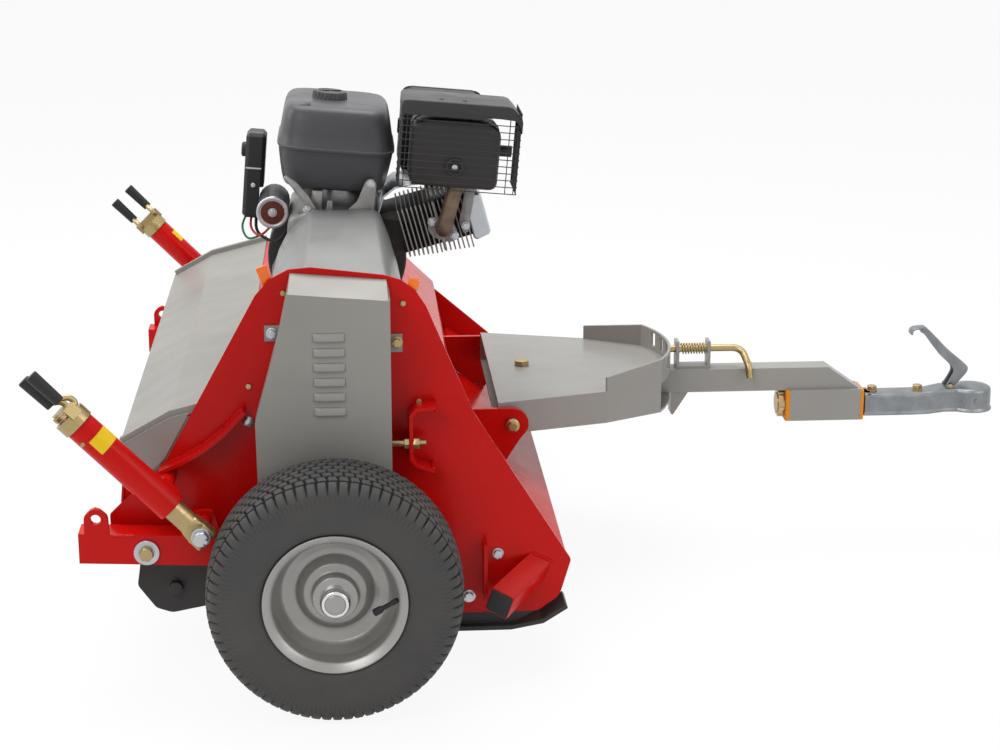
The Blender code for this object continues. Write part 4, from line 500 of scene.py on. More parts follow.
case_line = ((-0.1180, -0.1252), (0.1120, -0.1051), (0.1150, -0.025), (0.090, 0.055), (0.065, 0.130),
             (-0.060, 0.130), (-0.0922, 0.115), (-0.0922, 0.015), (-0.115, -0.025))
CASE_DEEP, CASE_FAR = 0.2545, -0.0752
castings = [plate(rounded(case_line, 0.010), CASE_DEEP, CASE_FAR, 0.004)]
for x, z in ((-0.102, -0.070), (0.104, -0.080), (0.082, 0.050), (0.050, 0.112), (-0.050, 0.112), (-0.080, 0.030)):
    castings.append(lathe([(0.0, 0.010), (0.0030, 0.0098), (0.0038, 0.0085), (0.0038, 0.0004)],
                          (x, ENGINE_SIDE + 0.0033, z), right, 24))
for x in (-0.045, 0.045):
    for y in (-0.300, -0.105):
        castings.append(panel((x - 0.0095, y - 0.0005, 0.126), (x + 0.0095, y + 0.0195, 0.1625), 0.002, 0.0015))
TILT = radians(20)
FIN_PITCH, FIN_TOP, FIN_FAR, FIN_NEAR = 0.0080, 0.0448, -0.1205, -0.2850
barrel_way = np.array((cos(TILT), 0.0, sin(TILT)))
barrel_up = np.array((-sin(TILT), 0.0, cos(TILT)))
barrel_from = np.array((0.066, 0.0, 0.079))


def fin(t, thick, low, near):
    """One cast fin: a rounded plate square to the barrel, at t along it, from low to the fins' top and from near to
    the barrel's far side."""
    outline = rectangle((near, low), (FIN_FAR, FIN_TOP), 0.012)
    return slab(outline, thick, barrel_from + barrel_way * t, left, barrel_up, 0.0005)


# The barrel and head are near black, and they show mainly in the gaps between the fins, which therefore look dark.
barrel = slab(rectangle((0.0, -0.040), (0.166, 0.041), 0.006), 0.120, barrel_from + (0, -0.142, 0), barrel_way,
              barrel_up, 0.006)
make("barrel_and_head", tipped([barrel]), dark_cast, "chassis")
web_line = ((-0.1176, -0.1150), (-0.1176, -0.0200), (-0.0925, 0.0480), (-0.0850, 0.0300), (-0.0900, -0.1150))
castings += [plate(web_line, 0.0040, y) for y in (-0.1050, -0.1950, -0.2950)]
filler = filleted(((0.0, 0.0165), (0.0030, 0.0165), (0.0040, 0.0125), (0.0120, 0.0120), (0.0140, 0.0100),
                   (0.0140, 0.0004)), 0.0012, 3)
make("oil_filler", tipped([lathe(filler, (-0.1165, -0.1500, -0.0700), (-1, 0, 0.15), 36)]), plug_black, "chassis")
make("drain_bolt", tipped([bolt((-0.1170, -0.2500, -0.0920), (-1, 0, 0), 0.0072, 0.0100)]), bright_zinc, "chassis")
fins = []
for i in range(15):
    t = 0.0455 + FIN_PITCH * i
    hang = 0.045 + 0.0155 * (t - 0.045) / 0.117
    fins.append(fin(t, 0.0026, -hang, FIN_NEAR if i < 8 else FIN_NEAR + 0.0070))
fins.append(fin(0.1075, 0.0050, -0.0500, FIN_NEAR))
made = make("engine_castings", tipped(castings), cast, "chassis")
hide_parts("engine_block")
make("cooling_fins", tipped(fins), fin_metal, "chassis")
cowl = [(0.062, 0.128), (0.068, 0.156), (0.088, 0.174), (0.112, 0.181), (0.140, 0.186), (0.1385, 0.1835),
        (0.113, 0.1785), (0.0895, 0.1715), (0.071, 0.154), (0.065, 0.128)]
make("barrel_cowl", tipped([plate(cowl, 0.150, -0.125, 0.0004)]), bright_zinc, "chassis")

# ---------------------------------------------------------------- silencer and its guard
# The silencer is a black box of pressed steel with a round spark arrestor on its side and a small outlet in front,
# behind a guard of welded wires under a bent sheet lid. A heat-browned elbow brings the exhaust up from a flange
# that two nuts hold to the head.
black_paint = coloured("black_paint", (0.036, 0.036, 0.038), (0.048, 0.046, 0.044), (0.34, 0.50), grain=420.0,
                       bump=0.10, depth=0.0003, dust=((0.13, 0.11, 0.09), 0.05, 0.90, 0.08))
hot_steel = coloured("heated_steel", (0.230, 0.165, 0.115), (0.100, 0.072, 0.055), (0.38, 0.58), metal=0.65,
                     patch=28.0, grain=900.0, bump=0.12, depth=0.0003)
can_line = ((0.109, 0.192), (0.261, 0.191), (0.2615, 0.296), (0.232, 0.3095), (0.140, 0.3095), (0.109, 0.300))
seam_line = ((0.1082, 0.1905), (0.2618, 0.1905), (0.2618, 0.298), (0.233, 0.3098), (0.139, 0.3098), (0.1082, 0.302))
can = [plate(rounded(can_line, 0.016, 6), 0.110, -0.2310, 0.010),
       plate(rounded(seam_line, 0.016, 6), 0.0030, -0.2840, 0.0012)]
outlet = filleted(((0.255, 0.0004), (0.255, 0.0098), (0.2838, 0.0098), (0.2838, 0.0078), (0.266, 0.0078),
                   (0.266, 0.0004)), 0.0012, 3)
can.append(lathe(outlet, (0.0, -0.300, 0.256), ahead, 32))
arrestor = filleted(((0.0, 0.0160), (0.0060, 0.0160), (0.0072, 0.0145), (0.0072, 0.0110), (0.0030, 0.0105),
                     (0.0030, 0.0004)), 0.0012, 3)
can.append(lathe(arrestor, (0.185, -0.3405, 0.229), right, 40))
silencer = make("silencer_can", tipped(can), black_paint, "chassis")
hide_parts("muffler")
make("arrestor_bolt", tipped([bolt((0.185, -0.3436, 0.229), right, 0.0048)]), bright_zinc, "chassis")
pipe = filleted(((0.1770, -0.2860, 0.110), (0.1770, -0.3110, 0.1115), (0.1945, -0.3080, 0.2010)), 0.020, 10)
bore = np.interp(np.arange(len(pipe)), (0, 4, len(pipe) - 1), (0.0118, 0.0140, 0.0134))
make("exhaust_elbow", tipped([tube(pipe, bore, 28)]), hot_steel, "chassis")
flange_line = ((0.1490, 0.1080), (0.1580, 0.1300), (0.1950, 0.1210), (0.2060, 0.1010), (0.1960, 0.0840),
               (0.1600, 0.0920))
strap_line = ((0.2040, 0.1240), (0.2140, 0.1040), (0.2250, 0.1100), (0.2230, 0.1300), (0.2290, 0.1930),
              (0.2110, 0.1930))
make("exhaust_flange", tipped([plate(rounded(flange_line, 0.010), 0.0055, -0.2790, 0.0010),
                               plate(rounded(strap_line, 0.004), 0.0030, -0.2870, 0.0008)]), cast, "chassis")
nuts = [bolt((0.1575, -0.2850, 0.1195), right, 0.0060, 0.0080), bolt((0.1985, -0.2850, 0.0985), right, 0.0060, 0.0080),
        bolt((0.2160, -0.2900, 0.1180), right, 0.0050, 0.0072)]
make("exhaust_nuts", tipped(nuts), bright_zinc, "chassis")
CAGE_LOW, CAGE_HIGH = (0.0900, -0.3530, 0.1905), (0.2935, -0.2410, 0.3190)
WIRE_R, LID_THICK = 0.0009, 0.0014
wires = []
corners = [(CAGE_LOW[0], CAGE_HIGH[1]), (CAGE_LOW[0], CAGE_LOW[1]), (CAGE_HIGH[0], CAGE_LOW[1]),
           (CAGE_HIGH[0], CAGE_HIGH[1])]
for level in np.linspace(CAGE_LOW[2], CAGE_HIGH[2], 12):
    wires.append(tube(filleted([(x, y, level) for x, y in corners], 0.004, 4), WIRE_R, 6))
uprights = [(CAGE_LOW[0] + 0.0012, y) for y in np.linspace(CAGE_LOW[1] + 0.004, CAGE_HIGH[1], 8)]
uprights += [(CAGE_HIGH[0] - 0.0012, y) for y in np.linspace(CAGE_LOW[1] + 0.004, CAGE_HIGH[1], 8)]
uprights += [(x, CAGE_LOW[1] + 0.0012) for x in (CAGE_LOW[0] + 0.008, CAGE_HIGH[0] - 0.020, CAGE_HIGH[0] - 0.006)]
for x, y in uprights:
    wires.append(tube(((x, y, CAGE_LOW[2] - 0.0005), (x, y, 0.255), (x, y, 0.330)), WIRE_R, 6))
lid_line = np.array(((0.0882, 0.3155), (0.0882, 0.3320), (0.0890, 0.3360), (0.0925, 0.3388), (0.1000, 0.3396),
                     (0.2680, 0.3396), (0.2760, 0.3375), (0.2850, 0.3290), (0.2930, 0.3200), (0.2948, 0.3150),
                     (0.2948, 0.2960)))
lid_rows = np.array([at_depth(lid_line, y) for y in (-0.3540, -0.3400, -0.3100, -0.2700, -0.2240)])
skirt_line = ((0.0885, 0.3150), (0.0885, 0.3320), (0.0930, 0.3385), (0.1000, 0.3392), (0.2680, 0.3392),
              (0.2760, 0.3370), (0.2944, 0.3160), (0.2944, 0.2975), (0.2900, 0.3080), (0.2820, 0.3170),
              (0.2300, 0.3200), (0.2240, 0.3150))
skirt = plate(rounded(skirt_line, 0.0012, 2), LID_THICK, -0.3538, 0.0004)
guard = make("silencer_guard", tipped(wires + [skirt]), black_paint, "chassis")
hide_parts("muffler_guard")
thicken(make("guard_lid", tipped([web(lid_rows, around=False)]), black_paint, "chassis"), LID_THICK, -1.0)
make("lid_bolts", tipped([dome((x, -0.318, 0.3390), up, 0.0045, 0.0020) for x in (0.155, 0.195)]), black_paint,
     "chassis")

# ---------------------------------------------------------------- fuel tank
# The tank is blow-moulded in black plastic in two halves with a welded seam at half height. It stands on cast
# brackets above the case, and a low ribbed cap closes it.
tank_plastic = coloured("tank_plastic", (0.060, 0.060, 0.065), (0.070, 0.070, 0.075), (0.30, 0.44), grain=700.0,
                        bump=0.10, depth=0.0002)
TANK, TANK_HALF = (-0.018, -0.175), (0.1025, 0.1450)
TANK_SEAM = 0.2359
TANK_SECTION = ((0.1632, 0.30), (0.1632, 0.74), (0.1640, 0.80), (0.1665, 0.838), (0.1710, 0.866), (0.1800, 0.892),
                (0.2000, 0.930), (0.2200, 0.962), (0.2320, 0.976), (0.2335, 0.985), (0.2342, 0.999), (0.2376, 0.999),
                (0.2384, 0.985), (0.2400, 0.976), (0.2600, 0.950), (0.2820, 0.915), (0.2930, 0.892), (0.3000, 0.862),
                (0.3045, 0.815), (0.3066, 0.740), (0.3075, 0.600), (0.3077, 0.300))
# Each level of the tank is a rounded oblong: x = half * share * cos^power, y = half * share * sin^power.
around = np.linspace(0, 2 * pi, 160, endpoint=False)
rows = []
for height, share in TANK_SECTION:
    power = 2 / 5.5 if share > 0.5 else 2 / 4.0
    drift = -0.003 * np.clip((height - TANK_SEAM) / 0.07, 0, 1)
    x = TANK[0] + drift + TANK_HALF[0] * share * np.sign(np.cos(around)) * np.abs(np.cos(around)) ** power
    y = TANK[1] + TANK_HALF[1] * share * np.sign(np.sin(around)) * np.abs(np.sin(around)) ** power
    rows.append(np.stack((x, y, np.full(160, height)), axis=-1))
body = make("moulded_tank", tipped([web(np.array(rows))]), tank_plastic, "chassis", 50)
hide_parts("fuel_tank")
ridges = []
for i in range(3):
    y = TANK[1] - 0.104 + 0.011 * i
    ridges.append(tube(filleted(((-0.104, y, 0.276), (-0.101, y, 0.292), (-0.088, y, 0.3048), (-0.066, y, 0.3066)),
                                0.010, 4), 0.0022, 10))
make("tank_ridges", tipped(ridges), tank_plastic, "chassis")
# The cap is turned, and its radius swells by the cosine of 24 times the angle, cut flat, where its skirt is ribbed.
cap_at = np.array((-0.034, -0.180, 0.3077))
CAP_SECTION = ((0.0003, 0.0312, 0.0), (0.0018, 0.0312, 0.3), (0.0030, 0.0305, 1.0), (0.0095, 0.0296, 1.0),
               (0.0118, 0.0284, 0.7), (0.0132, 0.0250, 0.1), (0.0136, 0.0220, 0.0), (0.0122, 0.0205, 0.0),
               (0.0122, 0.0100, 0.0), (0.0130, 0.0070, 0.0), (0.0130, 0.0004, 0.0))
around = np.linspace(0, 2 * pi, 288, endpoint=False)
knurl = 0.0010 * np.clip(np.cos(24 * around) * 2.0, -1, 1)
rows = []
for height, radius, depth in CAP_SECTION:
    reach = radius + knurl * depth * 0.8 - 0.0006
    rows.append(np.stack((cap_at[0] + reach * np.cos(around), cap_at[1] + reach * np.sin(around),
                          np.full(288, cap_at[2] + height)), axis=-1))
grip_bar = slab(rectangle((-0.020, -0.0042), (0.020, 0.0042), 0.003), 0.0026, cap_at + (0, 0, 0.0122), (0.9, 0.4, 0),
                (-0.4, 0.9, 0), 0.0009)
made = make("ribbed_cap", tipped([web(np.array(rows)), grip_bar]), tank_plastic, "fuel_cap")
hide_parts("fuel_cap")
rear_bracket = ((-0.0760, 0.1240), (-0.0480, 0.1240), (-0.0450, 0.1340), (-0.0600, 0.1560), (-0.0820, 0.1780),
                (-0.1010, 0.1890), (-0.1055, 0.1830), (-0.0900, 0.1690), (-0.0740, 0.1490), (-0.0790, 0.1330))
front_bracket = ((0.0100, 0.1260), (0.0530, 0.1260), (0.0555, 0.1840), (0.0500, 0.1930), (0.0410, 0.1930),
                 (0.0350, 0.1860), (0.0240, 0.1520), (0.0100, 0.1380))
post = ((-0.0280, 0.1260), (-0.0170, 0.1260), (-0.0180, 0.1500), (-0.0270, 0.1500))
cross_bar = np.array(((-0.058, 0.1285), (0.0, 0.1280), (0.066, 0.1275)))
brackets = []
for y in (-0.3115, -0.0880):
    brackets += [plate(rounded(line, 0.004), 0.0060, y, 0.0014) for line in (rear_bracket, front_bracket)]
    brackets.append(tube(at_depth(cross_bar, y - 0.004), 0.0042, 14))
    brackets.append(plate(rounded(post, 0.002), 0.0050, y, 0.0012))
make("tank_brackets", tipped(brackets), cast, "chassis")
make("tank_bolts", tipped([bolt((-0.0610, -0.3172, 0.1310), right, 0.0054, 0.0076),
                           bolt((0.0455, -0.3172, 0.1840), right, 0.0050, 0.0072)]), bright_zinc, "chassis")

# ---------------------------------------------------------------- tyres
# Pneumatic turf tyres, moulded in black rubber, with interlocking short blocks round the crown, longer lugs on the
# shoulders that thin out into fine ribs, and one thin ring on each side wall. An attribute paints shade into the
# grooves, darker by their depth.
rubber = coloured("tyre_rubber", (0.054, 0.054, 0.055), (0.066, 0.063, 0.060), (0.50, 0.68), patch=9.0, grain=500.0,
                  bump=0.12, depth=0.0003, dust=((0.15, 0.13, 0.11), 0.0, 0.42, 0.16))
net = rubber.node_tree
shader = net.nodes["Principled BSDF"]
plain = shader.inputs["Base Color"].links[0].from_socket
# Painted shade: an attribute from the tread's depth mixes the rubber towards near black in the grooves.
groove_shade = net.nodes.new("ShaderNodeAttribute")
groove_shade.attribute_name = "groove"
darker = net.nodes.new("ShaderNodeMix")
darker.data_type = "RGBA"
darker.inputs["B"].default_value = (0.004, 0.004, 0.004, 1.0)
net.links.new(plain, darker.inputs["A"])
net.links.new(groove_shade.outputs["Fac"], darker.inputs["Factor"])
net.links.new(darker.outputs["Result"], shader.inputs["Base Color"])
TYRE_SECTION = ((0.1036, 0.0625), (0.1080, 0.0648), (0.1138, 0.0668), (0.1168, 0.0710), (0.1230, 0.0765),
                (0.1350, 0.0798), (0.1500, 0.0815), (0.1650, 0.0816), (0.1760, 0.0802), (0.1850, 0.0766),
                (0.1925, 0.0705), (0.1980, 0.0610), (0.2012, 0.0470), (0.2027, 0.0280), (0.2033, 0.0))
PITCHES, ROW, CROWN_HALF = 72, 0.0168, 0.0588
GROOVE, RING_AT, RING_HIGH = 0.0050, 0.1525, 0.0012
WHEEL_X, WHEEL_Y, WHEEL_Z = -0.396, 0.780, 0.2033


def smoothed(line, rounds=3):
    """Corner cutting: each round puts points at a quarter and three quarters of every span."""
    line = np.asarray(line, float)
    for _ in range(rounds):
        cut = np.empty((2 * len(line) - 2, line.shape[1]))
        cut[0::2] = line[:-1] * 0.75 + line[1:] * 0.25
        cut[1::2] = line[:-1] * 0.25 + line[1:] * 0.75
        line = np.concatenate((line[:1], cut[1:-1], line[-1:]))
    return line


def tread(turn, out, radius):
    """Depth below the tyre's skin, from 0 to 1. Out is the distance from the crown along the section. Each cell of
    the crown is a block where (a^4 + b^4)^(1/4) of its two coordinates is small, and a groove where it is large.
    The shoulder's lugs are parted by one groove per pitch, which fades outwards, and the side wall has fine ribs,
    ((1 - cos) / 2)^3."""
    reach = np.abs(out)
    row = np.floor(reach / ROW + 0.5)
    within = (reach / ROW + 0.5 - row) * 2 - 1
    phase = turn * PITCHES / (2 * pi) + 0.5 * (row % 2) + 0.07 * np.sin(pi * within)
    along = (phase % 1.0) * 2 - 1
    blocks = np.clip(((along ** 4 + within ** 4) ** 0.25 - 0.80) / 0.09, 0, 1)
    lug = (turn * PITCHES / (2 * pi) + 0.5) % 1.0
    lugs = np.clip((0.115 - np.minimum(lug, 1 - lug)) / 0.05, 0, 1)
    lugs = np.maximum(lugs, np.clip(1 - np.abs(reach - CROWN_HALF) / 0.0016, 0, 1))
    fine = 0.16 * (0.5 - 0.5 * np.cos(turn * 2 * PITCHES)) ** 3
    fade = np.clip((radius - 0.162) / 0.010, 0, 1)
    side = np.where(reach < 0.085, lugs * np.clip(1.20 - (reach - 0.060) / 0.030, 0.25, 1), fine * fade)
    return np.where(reach < CROWN_HALF, blocks, side)


# The section is drawn from one bead to the crown and mirrored. Each of its points moves inwards along its normal by
# the tread's depth, all the way round.
half = smoothed(TYRE_SECTION)
run = np.concatenate(((0.0,), np.cumsum(np.linalg.norm(np.diff(half, axis=0), axis=1))))
stops = np.concatenate((np.linspace(0, run[-1] - 0.098, 12, endpoint=False),
                        np.linspace(run[-1] - 0.098, run[-1] - 0.0605, 10, endpoint=False),
                        np.linspace(run[-1] - 0.0605, run[-1], 27)))
radii, wide = np.interp(stops, run, half[:, 0]), np.interp(stops, run, half[:, 1])
radii, wide = np.concatenate((radii, radii[-2::-1])), np.concatenate((wide, -wide[-2::-1]))
out = run[-1] - stops
out = np.concatenate((out, -out[-2::-1]))
normal = np.stack((np.gradient(wide), -np.gradient(radii)), axis=-1)
normal /= -np.linalg.norm(normal, axis=1)[:, None]
turn = np.arange(PITCHES * 10) * 2 * pi / (PITCHES * 10)
deep = tread(turn[None, :], out[:, None], radii[:, None])
side_ring = RING_HIGH * np.exp(-((radii[:, None] - RING_AT) / 0.0014) ** 2) * (np.abs(out[:, None]) > 0.06)
fall = GROOVE * deep - side_ring
radius = radii[:, None] - normal[:, :1] * fall
offset = wide[:, None] - normal[:, 1:] * fall
for label, side in SIDES:
    grid = np.stack((WHEEL_X + radius * np.cos(turn), side * (WHEEL_Y + offset), WHEEL_Z + radius * np.sin(turn)),
                    axis=-1)
    tyre = make("turf_tyre_" + label, [web(grid, capped=False)], rubber, "wheel_" + label, 32)
    # The groove attribute holds the depth that paints shade into the grooves.
    shade = tyre.data.attributes.new("groove", "FLOAT", "POINT")
    shade.data.foreach_set("value", np.clip(deep, 0, 1).ravel())
    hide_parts("tyre_" + label)

# ---------------------------------------------------------------- wheel rims
# Spun steel wheels in silver paint, stepped in rings towards the hub, which a silver cap closes inside a chromed
# ring. A short black valve stem leans out through the dish.
rim_silver = coloured("rim_silver", (0.360, 0.352, 0.340), (0.310, 0.303, 0.292), (0.26, 0.38), metal=0.55,
                      grain=900.0, bump=0.05, depth=0.0002, dust=((0.30, 0.26, 0.21), 0.05, 0.35, 0.14))
chrome = coloured("chrome", (0.72, 0.72, 0.73), (0.62, 0.62, 0.64), (0.05, 0.12), metal=1.0, grain=500.0, bump=0.02)
black_plastic = coloured("black_plastic", (0.020, 0.020, 0.022), (0.030, 0.030, 0.032), (0.36, 0.52), grain=800.0,
                         bump=0.2, depth=0.0003)
DISH = ((0.0233, 0.060), (0.0233, 0.0465), (0.0350, 0.0443), (0.0362, 0.0425), (0.0362, 0.0255), (0.0400, 0.0232),
        (0.0500, 0.0215), (0.0620, 0.0065), (0.0700, 0.0062), (0.0840, 0.0102), (0.0890, 0.0150), (0.0965, 0.0290),
        (0.0985, 0.0340), (0.0985, 0.0620), (0.1020, 0.0660), (0.1120, 0.0728), (0.1136, 0.0725), (0.1137, 0.0700),
        (0.1128, 0.0682), (0.1024, 0.0652), (0.1022, 0.0300), (0.0900, 0.0060), (0.0900, -0.0120),
        (0.1022, -0.0450), (0.1022, -0.0652), (0.1128, -0.0682), (0.1137, -0.0700), (0.1136, -0.0725),
        (0.1120, -0.0728), (0.0985, -0.0620), (0.0985, -0.0460), (0.0860, -0.0160), (0.0800, 0.0020),
        (0.0320, 0.0060), (0.0300, 0.0030), (0.0300, -0.0500), (0.0135, -0.0500))
for label, side in SIDES:
    hub, way = (WHEEL_X, side * WHEEL_Y, WHEEL_Z), (0, side, 0)
    dish = filleted(np.array(DISH)[:, ::-1], 0.0024, 3)
    rim = make("rim_disc_" + label, [lathe(dish, hub, way, 120)], rim_silver, "wheel_" + label, 60)
    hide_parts("rim_" + label)
    ring = filleted(((0.040, 0.0243), (0.0600, 0.0243), (0.0640, 0.0228), (0.0668, 0.0238), (0.0690, 0.0222),
                     (0.0712, 0.0205), (0.0712, 0.0165), (0.0690, 0.0158)), 0.0012, 4)
    make("hub_ring_" + label, [lathe(ring, hub, way, 72)], chrome, "wheel_" + label)
    face = filleted(((0.060, 0.0162), (0.0716, 0.0162), (0.0728, 0.0145), (0.0736, 0.0100), (0.0738, 0.0004)),
                    0.0010, 4)
    make("hub_cap_" + label, [lathe(face, hub, way, 64)], rim_silver, "wheel_" + label)
    start = np.array((-0.327, side * 0.826, 0.184))
    stem = np.array((-0.299, side * 0.8395, 0.205)) - start
    stem_length = np.linalg.norm(stem)
    profile = filleted(((-0.010, 0.0062), (0.002, 0.0060), (0.006, 0.0040), (stem_length - 0.011, 0.0036),
                        (stem_length - 0.0105, 0.0048), (stem_length, 0.0046), (stem_length + 0.0008, 0.0004)), 0.0012)
    make("valve_" + label, [lathe(profile, start, stem, 28)], black_plastic, "wheel_" + label)

# ---------------------------------------------------------------- wheel arms
# Each wheel hangs on a welded box-section arm of red-painted steel, which swings on a pin through both walls of the
# deck's rear corner. A washer and a hexagon bolt hold the pin.
dress("wheel_arm_right wheel_arm_left", red_paint, 0.0014)
for label, side in SIDES:
    pivot_at, way = (-0.698, side * 0.6902, 0.238), (0, side, 0)
    washer = filleted(((-0.0039, 0.012), (-0.0039, 0.0206), (0.0002, 0.0206), (0.0002, 0.008)), 0.0006, 3)
    make("pivot_washer_" + label, [lathe(washer, pivot_at, way, 56)], bright_zinc, "chassis")
    make("pivot_bolt_" + label, [bolt(pivot_at, way, 0.0106)], yellow_zinc, "chassis")
    y = side * 0.6863
    beads = [weld_bead((-0.755, y, 0.2675), (-0.715, y, 0.2660), 0.0026),
             weld_bead((-0.640, y, 0.2640), (-0.575, y, 0.2610), 0.0026),
             weld_bead((-0.548, side * 0.6700, 0.2420), (-0.548, side * 0.6700, 0.2170), 0.0030)]
    make("arm_beads_" + label, beads, red_paint, "arm_" + label)

# ---------------------------------------------------------------- screw jacks
# A crank jack stands on each arm: a red tube pinned to the end plate, a yellow screw with a clevis at its foot,
# and a cross head on top whose two folding handles have black grips.
dress("crank_head_right crank_head_left", yellow_zinc, 0.0012)
dress("jack_tube_right jack_tube_left", red_paint, 0.0012)
tape_yellow = coloured("tape_yellow", (0.80, 0.55, 0.02), (0.74, 0.48, 0.01), (0.35, 0.5), grain=260.0, bump=0.1)
SLOPE = radians(45.5)
JACK_WAY = np.array((-cos(SLOPE), 0.0, sin(SLOPE)))
JACK_UP = np.array((sin(SLOPE), 0.0, cos(SLOPE)))
ROD_R, BAND_R, EYE_WIDE, HANDLES_HALF = 0.0178, 0.02465, 0.0272, 0.021
for label, side, crank_turn in (("right", -1, radians(35)), ("left", 1, radians(80))):
    foot = np.array((-0.605, side * 0.748, 0.288))
    sideways = np.array((0.0, side, 0.0))
    sleeve = filleted(((0.0642, 0.0222), (0.0642, 0.0244), (0.2585, 0.0244), (0.2585, 0.0222)), 0.0006, 3)
    make("jack_sleeve_" + label, [lathe(sleeve, foot, JACK_WAY, 64)], red_paint, "jack_tube_" + label)
    angles = np.linspace(radians(-8), radians(128), 25)[:, None]
    round_tube = (sideways * np.cos(angles) + JACK_UP * np.sin(angles)) * BAND_R
    tape = np.stack([foot + JACK_WAY * along + round_tube for along in (0.2040, 0.2180, 0.2320)])
    make("jack_band_" + label, [web(tape, around=False)], tape_yellow, "jack_tube_" + label)
    # A small grease nipple stands on the tube just above the band.
    nipple = foot + JACK_WAY * 0.236 + sideways * 0.0205 - JACK_UP * 0.0120
    fitting = filleted(((0.0, 0.0038), (0.0022, 0.0038), (0.0022, 0.0028), (0.0042, 0.0020), (0.0056, 0.0026),
                        (0.0066, 0.0018), (0.0068, 0.0003)), 0.0006, 3)
    make("grease_nipple_" + label, [lathe(fitting, nipple, sideways * 2 - JACK_UP, 24)], yellow_zinc,
         "jack_tube_" + label)
    rod = filleted(((0.0270, ROD_R), (0.1800, ROD_R), (0.1805, 0.0004)), 0.0010)
    eye = slab(rectangle((-0.0145, -0.0195), (0.0120, 0.0195), 0.004), EYE_WIDE,
               foot - np.cross(JACK_WAY, JACK_UP) * EYE_WIDE / 2, JACK_WAY, JACK_UP, 0.0022)
    # The neck passes from the flat eye to the round rod: wide * cos^power, deep * sin^power, with the power growing
    # from 2/7 to 1 as share goes along it.
    turn, share = np.meshgrid(np.arange(64) * 2 * pi / 64 + 0.001, np.linspace(0, 1, 9))
    power = 2 / (7.0 - 5.0 * share)
    wide = (0.0194 + (ROD_R - 0.0194) * share ** 0.7) * np.sign(np.cos(turn)) * np.abs(np.cos(turn)) ** power
    deep = (0.0134 + (ROD_R - 0.0134) * share) * np.sign(np.sin(turn)) * np.abs(np.sin(turn)) ** power
    neck = (foot + JACK_WAY * (0.0105 + 0.0185 * share)[..., None] + JACK_UP * wide[..., None]
            + sideways * deep[..., None])
    clevis = make("jack_clevis_" + label, [lathe(rod, foot, JACK_WAY, 48), eye, web(neck)], yellow_zinc,
                  "jack_screw_" + label)
    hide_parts("jack_screw_" + label)
    make("yoke_nut_" + label, [bolt(foot + sideways * 0.0138, sideways, 0.0113, 0.0155, 0.6)], bright_zinc,
         "arm_" + label)
    head = filleted(((0.2595, 0.0225), (0.2595, 0.0268), (0.2740, 0.0268), (0.2800, 0.0245), (0.2800, 0.0120)),
                    0.0014)
    make("crank_collar_" + label, [lathe(head, foot, JACK_WAY, 64)], yellow_zinc, "crank_head_" + label)
    out_way = sideways * cos(crank_turn) + JACK_UP * sin(crank_turn)
    up_way = JACK_UP * cos(crank_turn) - sideways * sin(crank_turn)
    for letter, k in (("a", 1), ("b", -1)):
        off = foot + out_way * (k * HANDLES_HALF)
        path = [off + JACK_WAY * a + up_way * b for a, b in
                ((0.287, -0.0150), (0.287, 0.0163), (0.301, 0.0163), (0.314, 0.0), (0.322, 0.0))]
        rod = make("handle_rod_%s_%s" % (letter, label), [tube(filleted(path, 0.009, 6), 0.0050, 20)], yellow_zinc,
                   "crank_handle_%s_%s" % (letter, label))
        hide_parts("crank_handle_%s_%s" % (letter, label))
        profile = filleted(((0.3075, 0.0046), (0.3075, 0.0086), (0.3100, 0.0090), (0.3640, 0.0104), (0.3672, 0.0100),
                            (0.3672, 0.0004)), 0.0012, 3)
        make("handle_grip_%s_%s" % (letter, label), [lathe(profile, off, JACK_WAY, 40)], plug_black,
             "crank_handle_%s_%s" % (letter, label))

# ---------------------------------------------------------------- rotor, roller, skids and pulleys
# Under the deck: the flail rotor, the rear roller between its black hanger plates, and a skid below each end
# plate. The belt runs on cast pulleys behind its cover.
turned_steel = coloured("turned_steel", (0.33, 0.33, 0.33), (0.24, 0.23, 0.22), (0.30, 0.48), metal=0.85,
                        grain=700.0, bump=0.1)
belt_rubber = coloured("belt_rubber", (0.018, 0.018, 0.018), (0.028, 0.027, 0.026), (0.6, 0.8), grain=900.0, bump=0.3)
dress("rotor rotor_pulley drive_pulley idler_pulley", turned_steel)
dress("drive_belt", belt_rubber, 0.0)
dress("rear_roller roller_bracket_right roller_bracket_left skid_right skid_left", black_paint, 0.0012)
for label, side in SIDES:
    end = filleted(((0.0, 0.0400), (0.0, 0.0424), (0.004, 0.0428), (0.010, 0.0428), (0.012, 0.0421)), 0.0006)
    way = (0, side, 0)
    make("roller_rim_" + label, [lathe(end + (0.003, -0.0004), (-0.658, side * 0.580, 0.157), way, 64)],
         black_paint, "rear_roller")
    nuts = [bolt((-0.658, side * 0.6294, 0.157), way, 0.0105, 0.0150, 0.5),
            bolt((-0.600, side * 0.6304, 0.1665), way, 0.0050, 0.0, 0.9),
            bolt((-0.640, side * 0.6304, 0.2450), way, 0.0050, 0.0, 0.9)]
    make("roller_bolts_" + label, nuts, black_paint, "chassis")
dress("tension_bolt", yellow_zinc, 0.0004)

